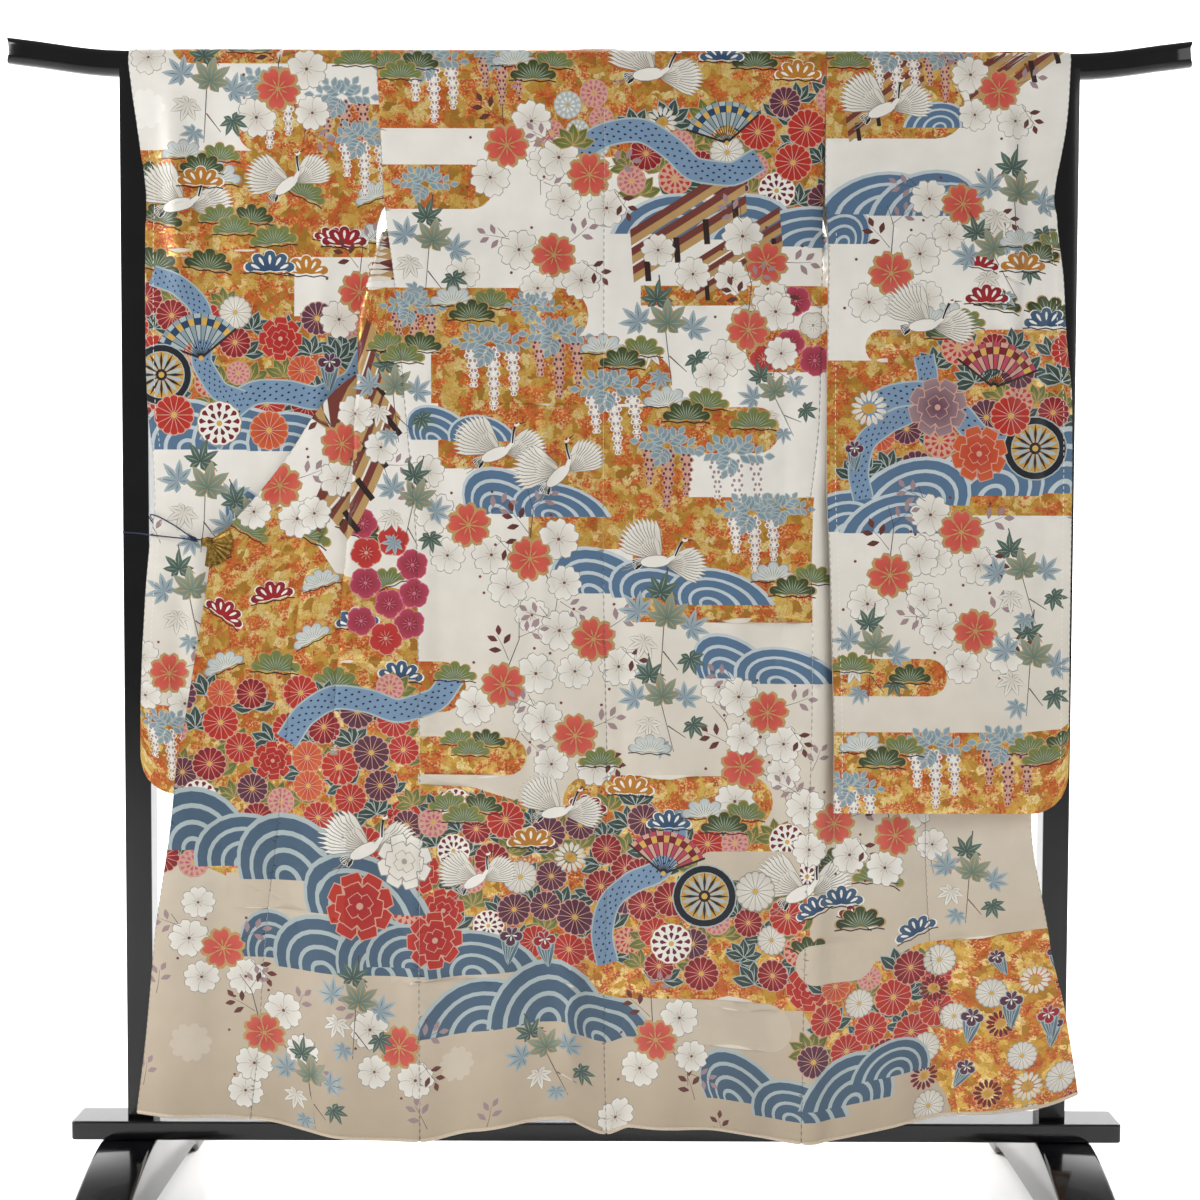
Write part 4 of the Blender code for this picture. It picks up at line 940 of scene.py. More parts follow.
PALETTE = {name: linear(code) for name, code in {
    "snow": "#EFEBE2", "ivory": "#DFD7C8", "cream": "#CFC1AC", "sand": "#BEAC93", "lining": "#EAE2D4",
    "white": "#F0ECE3", "shell": "#D6CEC0", "ghost": "#F7F4EC", "ghost_low": "#D1C4B0", "stone": "#9A958A",
    # the seam tone is a painted shade for the panels' rims, dark like the shadow in a seam
    "haze": "#AEBBBB", "gilding": "#BF9A62", "quill": "#857F74", "seam": "#8C7F70", "stitch": "#F6F0E6",
    # the two lighter tones of the blossoms woven in the silk are a painted sheen
    "gold": "#D8AE55", "ochre": "#B8781F", "leaf": "#C89B43", "coral_deep": "#C23A34", "coral": "#D4604F",
    "blush": "#D2A28C", "red": "#A8161B", "crimson": "#7E1020", "vermilion": "#B92C1B", "orange": "#CF5F30",
    "rosewood": "#74352B", "maroon": "#4A1220", "plum": "#5E2E48", "mauve": "#A1878A", "umber": "#4A2723",
    "bark": "#2A1613", "twig": "#4B3A3C", "ink": "#11131D", "rose": "#B8435A", "pink": "#D0748A",
    "wave": "#54728F", "foam": "#C3CDD0", "pool": "#7894B0", "deep_wave": "#465F75", "steel": "#45617A",
    "slate": "#6F8792", "pond": "#3C5560", "pine": "#56642A", "olive": "#7C8444", "teal": "#3A4F49",
    "jade": "#5D7566", "grass": "#96A493", "frost": "#8A9CA3", "mist": "#AFBBBD",
    "fir": "#2B351C", "navy": "#1F4268",
}.items()}

RED = ("red", "vermilion")
CORAL = sakura(("coral_deep", "coral"), "gilding")
PALE = line_sakura()
MAUVE_LEAVES = sprig(("mauve",))
UMBER_LEAVES = sprig(("umber", "rosewood"))
GOLD_MAPLE = maple(("jade", "grass"), "gilding", "gilding", 0.4)
GREEN_MAPLE = maple(("teal", "jade"), None, "grass")
GREY_MAPLE = maple(("frost", "mist"), None, "steel")
LINE_MAPLE = maple(("shell", "white"), "stone", "stone")
PINE_GREEN = pine(("pine", "fir"), "gilding", "grass", True)
PINE_OLIVE = pine(("pine", "olive"), "gilding", "grass", True)
PINE_WHITE = pine(("white", "mist"), "stone", "grass", True)

KINDS = {
    "plum_rose": plum_blossom(("crimson", "rose"), "pink"),
    "plum_red": plum_blossom(("red", "coral_deep"), "blush"),
    "plum_white": plum_blossom(("white", "shell"), "stone"),
    "line": PALE, "ghost": sheen_sakura("ghost"), "ghost_low": sheen_sakura("ghost_low"),
    "kiku_red": kiku(RED, "blush"), "kiku_orange": kiku(("vermilion", "orange"), "blush"),
    "kiku_white": kiku(("white", "shell"), "stone", 15), "kiku_maroon": kiku(("maroon", "plum"), "blush"),
    "kiku_garnet": kiku(("red", "crimson"), "blush"),
    "drop_maroon": drop_kiku(("maroon", "crimson"), "white"),
    "drop_coral": drop_kiku(("vermilion", "coral_deep"), "blush"),
    "pompon_rose": drop_kiku(("rose", "pink"), "blush"),
    "pompon_plum": drop_kiku(("crimson", "rose"), "blush"),
    "pompon_white": drop_kiku(("white", "shell"), "haze"),
    "daisy_white": daisy(("white", "shell"), "stone"),
    "daisy_maroon": daisy(("maroon", "crimson"), "blush"),
    "pine_green": PINE_GREEN, "pine_olive": PINE_OLIVE, "pine_white": PINE_WHITE,
    "pine_red": pine(("red", "crimson"), "white", "white"),
    "pine_ochre": pine(("ochre", "ochre"), "white", "white"),
    "pine_navy": pine(("navy", "steel"), "white", "white"),
    "wisteria": wisteria("white", "mauve"), "wisteria_plum": wisteria("blush", "plum"),
    "iris_plum": iris(("maroon", "plum")), "iris_red": iris(("crimson", "red")),
    "peony_red": peony(RED, "blush"), "peony_white": peony(("shell", "white"), "stone"),
    "peony_plum": peony(("plum", "mauve"), "blush"),
    "peony_orange": peony(("vermilion", "orange"), "blush"),
    "crane": crane(), "wheel": wheel(), "fan": open_fan(("haze", "frost"), ("navy", "gold")),
    "fan_rose": open_fan(("blush", "rose"), ("crimson", "gold")),
    "mauve": MAUVE_LEAVES, "umber": UMBER_LEAVES,
    "rosette": leaf_rosette(("fir", "teal"), "haze"),
    "olive_leaves": leaf_rosette(("olive", "pine"), "gilding"),
    "planks": planks(1.0, 3, 0.55), "leaflets": leaflets(),
    "ribbon": ribbon([(-1, -0.15), (-0.7, 0.1), (-0.35, 0.2), (0, 0.08), (0.35, -0.12), (0.7, -0.1),
                      (1, 0.12)], 0.24),
    # sprays: a coral blossom with pale ones, leaves and buds, and a spray of maple on its twig
    "spray": joined(
        (stems([(0.2, 0.3), (0.5, -0.9), (0.35, -1.6)], [(-0.4, 0.2), (-1.6, 1.3), (-1.9, 2.0)]),),
        (PALE, -1.35, 0.75, 0.92, 20), (PALE, 0.75, -1.45, 0.88, -10), (PALE, -1.15, -1.15, 0.80, 50),
        (MAUVE_LEAVES, 1.45, 0.55, 0.85, -70), (MAUVE_LEAVES, -2.2, 1.7, 0.8, 60),
        (UMBER_LEAVES, 1.5, -1.3, 0.8, 215),
        (CORAL, 0, 0, 1, 0),
        (buds((1.25, 1.25), (-0.5, 1.5), (-2.0, -0.1), (0.1, -2.3)),)),
    "spray_low": joined(
        (stems([(0.0, 0.8), (0.15, 2.1), (-0.1, 3.0)], [(0.6, -0.5), (1.2, -1.7), (1.1, -2.4)]),),
        (PALE, 1.25, 0.85, 0.92, 10), (PALE, -0.95, -1.25, 0.9, 40), (PALE, 1.5, -1.05, 0.78, 30),
        (UMBER_LEAVES, -0.55, 1.7, 0.85, 40), (MAUVE_LEAVES, 0.6, 2.6, 0.75, -50),
        (MAUVE_LEAVES, 1.9, -2.2, 0.75, 240),
        (CORAL, 0, 0, 1, 30),
        (buds((-1.5, 0.6), (0.9, 1.9), (-2.0, -1.5)),)),
    "maples": joined(
        (stems([(0.1, 1.9), (0.0, 0.2), (-0.15, -2.3)], [(0.05, 1.2), (0.45, 0.6)],
               [(-0.05, -1.2), (0.5, -1.9)],
               width=0.05),),
        (GREY_MAPLE, -0.95, 0.25, 0.85, 40), (GREEN_MAPLE, -0.15, 0.95, 0.82, -15),
        (GREY_MAPLE, 0.95, -0.35, 0.80, -60),
        (LINE_MAPLE, -0.75, -0.85, 0.72, 160), (GREEN_MAPLE, 0.95, -1.45, 0.70, 200),
        (GREY_MAPLE, -0.5, -1.9, 0.62, 150),
        (GOLD_MAPLE, 0.1, 0.0, 1.0, -10)),
    "pines": joined(
        (PINE_WHITE, -0.75, 0.50, 0.95, 0), (PINE_OLIVE, 0.72, 0.42, 0.95, 0),
        (PINE_GREEN, 0.0, -0.05, 1.0, 0)),
    "pines_low": joined(
        (PINE_OLIVE, -0.70, 0.40, 0.95, 0), (PINE_GREEN, 0.62, 0.36, 1.0, 0),
        (PINE_OLIVE, -0.1, -0.08, 1.0, 0)),
}

# Every table below is in centimetres: across from the garment's middle, and up from the floor
BODY_BANDS = table(Band,
    (-36, 38, 159.6, 175), (-9.5, 38, 155.5, 162, 1), (16.5, 38, 147.8, 157),
    (-38, -15.3, 148, 154.4, 0, 1), (-38, -1.5, 128.4, 136.4, 0, 1), (6, 38, 133.9, 136.8),
    (-23, 2, 110.5, 129.5), (-24, 10.5, 119.8, 127, 0, 1), (21, 38, 124.4, 130.5, 1),
    (-8, 26, 112.8, 119.4, 0, 1), (-10, 13, 99, 114), (5, 31, 88.5, 106.5), (-38, -19, 75.3, 82.7, 0, 1),
    (-38, -10.2, 66.3, 71.8, 0, 1), (-5, 25.5, 58.5, 66.2, 1, 1),
)
BODY_BEDS = [  # gold grounds of the flower fields, as outlines
    [(-75, 104.6), (-43, 105), (-38, 95.5), (-26, 92.5), (-26, 60), (-27, 43), (-36, 45), (-44, 47),
     (-52, 50), (-62, 55), (-75, 58)],
    [(-28, 65), (-18, 64.5), (-8, 61.5), (5, 61), (20, 60), (31, 57.5), (31, 38), (42, 39), (47, 40.8),
     (75, 43.5), (75, 10), (52.8, 10), (51.5, 17), (48, 22.5), (42, 24.4), (36, 24), (30, 33), (22, 32),
     (6, 33), (-6, 35), (-14, 43), (-20, 45), (-30, 42)],
]
# Undyed silk let into the gold
BODY_TONGUES = table(Band,
    (14.5, 29.5, 51, 55.2, 1), (6, 28.5, 26.5, 33.4, 0, 1), (29, 40.5, 36.5, 42.2, 1, 1),
)
SKIRT_TONGUES = table(Band, (-54, -38, 46.2, 51.5, 0, 1), (-30, -14.5, 36.5, 39.5, 0, 1))
# Middle, base, half width, height, lean
BODY_WAVES = table(Wave,
    (9.5, 144.4, 8, 6, 0.35), (19, 143.6, 9, 6.8, 0.35), (29, 142.6, 9.5, 6, 0.3), (38, 142.4, 8, 5, 0.3),
    (-22, 114.6, 5, 5, -0.5), (-16.5, 114.4, 5, 3.8, -0.3), (-12, 104, 6.8, 6.8, -0.5),
    (-5, 103.6, 7, 5, -0.5), (1.5, 92.6, 7.6, 6.8, -0.5), (10, 92, 8, 5.8, -0.5),
    (18, 91, 7.6, 5.4, -0.5), (20.5, 80.4, 6, 6.6, -0.5), (28, 79.6, 8, 5.4, -0.5),
)
SKIRT_WAVES = table(Wave,
    (-66, 56, 8, 8, -0.1), (-58, 55, 8, 9.4, -0.1), (-50, 52.5, 8.5, 8, -0.2), (-43, 50.5, 9, 10, -0.3),
    (-33, 46, 9, 9, -0.4), (-46.5, 38.6, 5.6, 7.4, -0.2), (-38, 37.4, 9, 8.4, -0.3),
    (-29.5, 37.4, 8, 8.2, -0.3), (-25.5, 38.6, 8, 6.2, -0.3), (-16.5, 37, 8.5, 6.6, -0.3),
    (-18, 28.6, 9, 8, 0.2), (-7, 28.8, 9, 9.8), (2.5, 27.4, 6.5, 7, -0.4), (22.5, 18.6, 6.6, 7.6, -0.5),
    (30, 17, 7.2, 6, -0.3), (36.5, 18.6, 7, 7.6, 0.2), (43, 21.5, 6, 5.6, 0.2),
)
LEFT_BANDS = table(Band,
    (-62, -28, 168.8, 175, 1), (-52.3, -28, 156, 163, 1), (-74, -28, 141, 156.3), (-74, -44, 116, 142),
    (-46, -28, 116, 132.5), (-74, -28, 58, 75.8),
)
LEFT_WAVES = table(Wave,
    (-64.5, 113.2, 6, 5), (-59, 113.2, 8, 7.4, -0.1), (-51, 113.2, 8, 6.4, -0.2),
    (-43.5, 113, 7.5, 5.8, -0.3), (-36, 113, 7, 5, -0.2), (-51, 103.2, 3.2, 4.6, -0.2),
)
RIGHT_BANDS = table(Band,
    (28, 63.2, 165.8, 175, 0, 1), (28, 52.8, 158.2, 166.8, 0, 1), (38, 74, 125.4, 130.4, 1),
    (28, 74, 104, 126), (28, 50.2, 78, 83.4, 0, 1), (28, 74, 56, 72.8),
)
RIGHT_WAVES = table(Wave,
    (48.5, 159.8, 4.8, 3.8, 0.2), (33.5, 142.6, 5, 6, 0.3), (39.5, 147, 8.5, 6.4, 0.35),
    (46.5, 146.8, 8, 6.9, 0.3), (50, 146.8, 5.2, 5, 0.1), (64, 107.2, 8, 9.6, 0.35),
    (54.5, 106.8, 9, 8.0, 0.35), (44.5, 105.4, 8.5, 7, 0.35), (34, 101.6, 7, 6, 0.35),
    (42, 101.4, 7.6, 6, 0.35),
)


def ground_colour(heights):
    """The undyed silk's colour: white above, and a warm beige that deepens towards the hem."""
    rows = sorted(GROUND)
    places = [row.height for row in rows]
    channels = [np.interp(heights, places, [PALETTE[row.colour][i] for row in rows]) for i in range(3)]
    return np.stack(channels, axis=-1)


def enclosed(places, outline):
    """Which places lie inside an outline, by how often a level line from each crosses it."""
    x, z = places[:, 0][:, None], places[:, 1][:, None]
    x0, z0 = np.asarray(outline).T
    x1, z1 = np.roll(x0, -1), np.roll(z0, -1)
    rise = np.where(z1 == z0, 1e-12, z1 - z0)
    crossed = ((z0 > z) != (z1 > z)) & (x < x0 + (x1 - x0) * (z - z0) / rise)
    return crossed.sum(axis=1) % 2 == 1


def triangulated(outline, drawings, step, extra=()):
    """Triangles over an outline, which keep every drawing's edge."""
    points, edges = [], []
    for drawn in [np.array(outline)] + [part.points for _, part in drawings]:
        first, count = len(points), len(drawn)
        points += [Vector(p) for p in drawn]
        edges += [(first + i, first + (i + 1) % count) for i in range(count)]
    low, high = np.min(outline, axis=0), np.max(outline, axis=0)
    rows = int((high[1] - low[1]) / (step * 0.87))
    columns = int((high[0] - low[0]) / step)
    for j in range(1, rows):
        z = low[1] + (high[1] - low[1]) * j / rows
        shift = 0.25 if j % 2 else 0.75
        points += [Vector((low[0] + (high[0] - low[0]) * (i + shift) / columns, z)) for i in range(columns)]
    points += [Vector(p) for p in extra]
    found = delaunay_2d_cdt(points, edges, [], 0, 2e-5, False)
    places = np.array([tuple(v) for v in found[0]])
    triangles = np.array([face for face in found[2] if len(face) == 3])
    triangles = triangles[enclosed(places[triangles].mean(axis=1), outline)]
    used, packed = np.unique(triangles, return_inverse=True)
    return places[used], packed.reshape(triangles.shape)


def topmost(middles, drawings, leg_of):
    """For each triangle's middle the number of the last drawing over it, or 0."""
    order = np.argsort(middles[:, 1])
    heights = middles[order, 1]
    top = np.zeros(len(middles), dtype=int)
    for number, (leg, part) in enumerate(drawings, 1):
        low, high = part.points.min(axis=0), part.points.max(axis=0)
        first, last = np.searchsorted(heights, (low[1], high[1]))
        near = order[first:last]
        near = near[(middles[near, 0] > low[0]) & (middles[near, 0] < high[0]) & (leg_of[near] == leg)]
        if len(near):
            top[near[enclosed(middles[near], part.points)]] = number
    return top


def boundary(triangles):
    """The mesh's edge as one loop of vertices, in the direction of its faces."""
    edges = {edge for a, b, c in triangles for edge in ((a, b), (b, c), (c, a))}
    after = {a: b for a, b in edges if (b, a) not in edges}
    loop = [next(iter(after))]
    while after[loop[-1]] != loop[0]:
        loop.append(after[loop[-1]])
    return loop


def surface_normals(place, points, facing):
    """Unit normals of a panel's surface, out on its dyed side."""
    e = 0.0008
    across, up = (place(points + shift) - place(points - shift)
                  for shift in (np.array((e, 0)), np.array((0, e))))
    normals = np.cross(across, up) * facing
    return normals / np.maximum(np.linalg.norm(normals, axis=1, keepdims=True), 1e-12)


# Low and high corners bound the leg's own area; a leg with no design of its own has the panel's
Leg = namedtuple("Leg", "to_cloth low high design", defaults=[(-1, -1), (9, 9), None])


def clipped(points, low, high):
    """The part of an outline inside a box, or None."""
    for axis in (0, 1):
        for limit, sign in ((low[axis], 1), (high[axis], -1)):
            kept = []
            depths = sign * (points[:, axis] - limit)
            for a, b, da, db in zip(points, np.roll(points, -1, axis=0), depths, np.roll(depths, -1)):
                if da >= 0:
                    kept.append(a)
                if da * db < 0:
                    kept.append(a + (b - a) * da / (da - db))
            if len(kept) < 3:
                return None
            points = np.array(kept)
    return points


def drawn_on(design, legs, low, high):
    """A design's shapes in the panel's drawing plane, each with the number of the leg it is on."""
    found = []
    for number, leg in enumerate(legs):
        parts = leg.design or design
        sizes = [len(part.points) for part in parts]
        starts = np.concatenate(([0], np.cumsum(sizes)[:-1]))
        points = leg.to_cloth(np.concatenate([part.points for part in parts]))
        middles = leg.to_cloth(np.array([part.centre for part in parts]))
        floor = np.maximum(leg.low, low) - MARGIN
        ceiling = np.minimum(leg.high, high) + MARGIN
        tops = np.maximum.reduceat(points, starts, axis=0)
        bottoms = np.minimum.reduceat(points, starts, axis=0)
        for i in np.flatnonzero((tops > floor).all(axis=1) & (bottoms < ceiling).all(axis=1)):
            outline = points[starts[i]:starts[i] + sizes[i]]
            if (bottoms[i] < floor).any() or (tops[i] > ceiling).any():
                outline = clipped(outline, floor, ceiling)
            if outline is not None:
                found.append((number, parts[i]._replace(points=outline, centre=middles[i])))
    return found


def stitches(start, end):
    """A row of running stitches between two places on a panel."""
    start, end = np.array(start), np.array(end)
    whole = np.linalg.norm(end - start)
    along = (end - start) / whole
    side = np.array((-along[1], along[0])) * STITCH_WIDTH / 2
    made = []
    for travel in np.arange(STITCH_PITCH, whole - STITCH_PITCH, STITCH_PITCH):
        a, b = start + along * travel, start + along * (travel + STITCH_LENGTH)
        made.append(shape([a - side, b - side, b + side, a + side], "stitch"))
    return made


def refined(outline):
    """An outline with places added along its longer edges, so that it can follow a curved surface."""
    points = []
    for start, end in zip(outline, np.roll(outline, -1, axis=0)):
        count = max(math.ceil(np.linalg.norm(end - start) / GRID - 0.001), 1)
        points += [start + (end - start) * i / count for i in range(count)]
    return np.array(points)


def tucked_in(outline):
    """Places just inside a panel's outline."""
    along = np.roll(outline, -1, axis=0) - outline
    inward = np.stack((-along[:, 1], along[:, 0]), axis=-1) / np.linalg.norm(along, axis=1, keepdims=True)
    return [tuple(p) for p in outline + along / 2 + inward * EDGE_TUCK]


def silk_panel(name, place, outline, design, facing, legs=None, extra=(), sewn=()):
    """A panel of dyed silk with its lining: one closed shell whose faces carry the drawing."""
    outline = refined(np.array(outline))
    low, high = outline.min(axis=0), outline.max(axis=0)
    legs = legs or [Leg(lambda points: points)]
    drawings = drawn_on(design, legs, low, high)

    def leg_at(places):
        numbers = np.zeros(len(places), dtype=int)
        for number, leg in enumerate(legs):
            numbers[(places >= leg.low).all(axis=1) & (places < leg.high).all(axis=1)] = number
        return numbers

    for part in [part for row in sewn for part in stitches(*row)]:
        drawings.append((leg_at(part.points.mean(axis=0)[None])[0], part))
    flat, triangles = triangulated(outline, drawings, GRID, list(extra) + tucked_in(outline))
    middles = flat[triangles].mean(axis=1)
    top = topmost(middles, drawings, leg_at(middles))
    loop = boundary(triangles)
    lining_points, lining_triangles = triangulated(flat[loop], [], LINING_GRID, extra)
    outer = place(flat) + surface_normals(place, flat, facing) * SILK_OUT
    inner = place(lining_points) - surface_normals(place, lining_points, facing) * SILK_IN
    base = len(outer)
    faces = triangles[:, ::facing].tolist() + (base + lining_triangles[:, ::-facing]).tolist()
    inner_loop = [base + int(np.argmin(((lining_points - flat[i]) ** 2).sum(axis=1))) for i in loop]
    for a, b, c, d in zip(loop, np.roll(loop, -1), np.roll(inner_loop, -1), inner_loop):
        faces.append((b, a, d, c) if facing > 0 else (a, b, c, d))
    mesh = bpy.data.meshes.new(name)
    mesh.from_pydata(np.concatenate((outer, inner)).tolist(), [], faces)
    paint(mesh, flat, lining_points, triangles, top, drawings, loop, len(lining_triangles))
    return add_piece(name, mesh, 50)


def add_piece(name, mesh, sharp):
    """A mesh as a piece of the scene, smooth but for edges sharper than an angle in degrees."""
    mesh.shade_smooth()
    mesh.set_sharp_from_angle(angle=math.radians(sharp))
    made = bpy.data.objects.new(name, mesh)
    bpy.context.scene.collection.objects.link(made)
    return made


def paint(mesh, flat, lining_points, triangles, top, drawings, loop, lined):
    """The panel's dye, gold and maps, corner by corner: dyed face with a painted shade along its edge, then
    lining, then rim in a dark painted seam shade.
    """
    corners = np.empty(len(mesh.loops), dtype=np.int32)
    mesh.loops.foreach_get("vertex_index", corners)
    places = np.concatenate((flat, lining_points))[corners]
    count = len(triangles) * 3
    rim = count + lined * 3
    owner = np.repeat(top, 3)
    blank = shape([(0, 0)], "lining")
    near, far, centre, reach, gold = (np.array(column)[owner] for column in zip(*[
        (PALETTE[part.near], PALETTE[part.far], part.centre, part.reach, part.gilt)
        for part in [blank] + [part for _, part in drawings]]))
    share = np.clip(np.linalg.norm(places[:count] - centre, axis=1) / reach, 0.0, 1.0)[:, None]
    dye = np.ones((len(corners), 4))
    dye[:count, :3] = np.where((owner > 0)[:, None], mix(near, far, share),
                               ground_colour(places[:count, 1]))
    # painted shade: triangles along the panel's edge are darkened, for the shadow of its seams and edges
    dye[:count, :3][np.repeat(np.isin(triangles, loop).sum(axis=1) > 1, 3)] *= SEAM_SHADE
    dye[count:rim, :3] = PALETTE["lining"]
    # painted shade: the rims get a dark tone, for the shadow in the seams
    dye[rim:, :3] = PALETTE["seam"]
    gilt = np.zeros(len(corners))
    gilt[:count] = gold
    spread = (places - flat.min(axis=0)) / (flat.max(axis=0) - flat.min(axis=0))
    sheet = spread * (0.84, 0.98) + 0.01
    sheet[count:rim] = spread[count:rim] * (0.06, 0.98) + (0.87, 0.01)
    sheet[rim:] = spread[rim:] * (0.02, 0.98) + (0.96, 0.01)
    mesh.color_attributes.new("dye", "FLOAT_COLOR", "CORNER").data.foreach_set("color", dye.ravel())
    mesh.attributes.new("gilt", "FLOAT", "CORNER").data.foreach_set("value", gilt)
    mesh.uv_layers.new(name="cloth").data.foreach_set("uv", places.ravel())
    mesh.uv_layers.new(name="OFBake").data.foreach_set("uv", sheet.ravel())


FLOWERS = table(Sort,
    ("kiku_red", 5.2, 6), ("kiku_white", 4.8, 1), ("kiku_maroon", 5.0, 4), ("kiku_orange", 4.6, 1),
    ("drop_coral", 4.6, 1), ("peony_red", 6.2, 1), ("drop_maroon", 5.2, 1), ("pompon_rose", 4.0, 1),
    ("daisy_white", 4.4, 1), ("kiku_garnet", 4.8, 4), ("rosette", 6.4, 3),
)
LEAVES = table(Sort, ("rosette", 6.4, 3), ("olive_leaves", 6.0, 2))
PINES = table(Sort,
    ("pine_green", 7.4, 3), ("pine_olive", 7.2, 3), ("pine_white", 7.0, 2), ("pine_red", 6.4, 1),
    ("pine_ochre", 6.4, 1), ("pine_navy", 6.6, 1),
)
WATER_PLANTS = table(Sort,
    ("iris_plum", 8.6, 3), ("iris_red", 8.2, 2), ("daisy_maroon", 4.6, 1), ("daisy_white", 4.8, 1),
    ("kiku_white", 4.8, 1),
)
POMPONS = table(Sort, ("pompon_rose", 4.2, 3), ("pompon_plum", 4.2, 2), ("pompon_white", 3.8, 2))
GARNETS = table(Sort, ("plum_rose", 4.4, 3), ("plum_red", 4.6, 3), ("plum_white", 4.2, 2))
PALE_LOW = table(Sort,
    ("line", 5.4, 3), ("ghost_low", 5.6, 2), ("mauve", 5.0, 2), ("umber", 4.8, 1),
)
PALE_BLOSSOM = table(Sort,
    ("line", 5.4, 3), ("ghost", 5.6, 3), ("mauve", 5.0, 2), ("umber", 4.8, 1),
)

BODY_FIELDS = table(Field,
    ([(-74, 78), (-28, 78), (-28, 101), (-74, 101)], PINES, 0.95, 3),
    ([(-74, 56), (-58, 52), (-28, 46), (-28, 80), (-40, 78), (-74, 78)], FLOWERS, 0.86, 5),
    ([(-28, 44), (5, 38), (6, 62), (-8, 60), (-28, 63)], FLOWERS, 0.86, 7),
    ([(6, 36), (31, 36), (31, 56), (20, 58), (6, 60)], FLOWERS, 0.86, 11),
    ([(31, 24), (46, 24), (50, 30), (50, 38), (31, 36)], FLOWERS, 0.86, 13),
    ([(31, 40), (47, 41), (47, 53), (31, 56)], PINES, 0.9, 17),
    ([(48, 12), (72, 12), (72, 40), (48, 38)], WATER_PLANTS, 0.8, 19),
    ([(4, 150), (36, 148), (36, 165), (4, 160)], FLOWERS, 0.86, 23),
    ([(-7, 157), (1, 157), (1, 165), (-7, 164)], POMPONS, 0.92, 27),
    ([(-37, 88), (-27, 84), (-26, 98), (-34, 103)], GARNETS, 0.8, 37),
    ([(21, 126), (31, 126), (31, 136), (21, 135)], GARNETS, 0.95, 39),
)
LEFT_FIELDS = table(Field,
    ([(-68, 137), (-46, 137), (-30, 143), (-30, 152), (-68, 152)], PINES, 0.9, 41),
    ([(-68, 118), (-30, 118), (-30, 131), (-46, 133), (-68, 136)], FLOWERS, 0.86, 43),
)
RIGHT_FIELDS = table(Field,
    ([(36, 109), (70, 113), (70, 128), (50, 128), (44, 122)], FLOWERS, 0.86, 53),
    ([(46, 128), (68, 130), (68, 143), (56, 143)], PINES, 0.9, 61),
)
BODY_PALE = table(Field,
    ([(-27, 83), (-18, 83), (-4, 66), (26, 66), (30, 78), (8, 90), (-26, 100)], PALE_BLOSSOM, 1.35, 71),
    ([(-30, 137), (28, 138), (18, 158), (-8, 158), (-30, 158)], PALE_BLOSSOM, 1.35, 73),
    ([(-44, 106), (-30, 98), (-28, 126), (-34, 126)], PALE_BLOSSOM, 1.3, 79),
    ([(-66, 20), (-36, 16), (-30, 34), (-50, 36), (-64, 46)], PALE_LOW, 1.35, 83),
    ([(-28, 16), (26, 14), (10, 25), (-26, 26)], PALE_LOW, 1.5, 89),
    ([(30, 57), (50, 54), (48, 64), (30, 70)], PALE_LOW, 1.3, 101),
    ([(2, 107), (30, 107), (30, 124), (12, 132), (0, 136)], PALE_BLOSSOM, 1.4, 103),
)
LEFT_PALE = table(Field,
    ([(-66, 78), (-32, 78), (-32, 112), (-66, 112)], PALE_BLOSSOM, 1.4, 103),
    ([(-66, 157), (-34, 163), (-34, 168), (-66, 170)], PALE_BLOSSOM, 1.3, 107),
    ([(-44, 132), (-30, 132), (-30, 141), (-44, 140)], PALE_BLOSSOM, 1.2, 109),
)
RIGHT_PALE = table(Field,
    ([(35, 85), (66, 75), (66, 105), (35, 100)], PALE_BLOSSOM, 1.4, 109),
    ([(34, 131), (66, 144), (66, 166), (54, 158), (34, 157)], PALE_BLOSSOM, 1.4, 113),
)
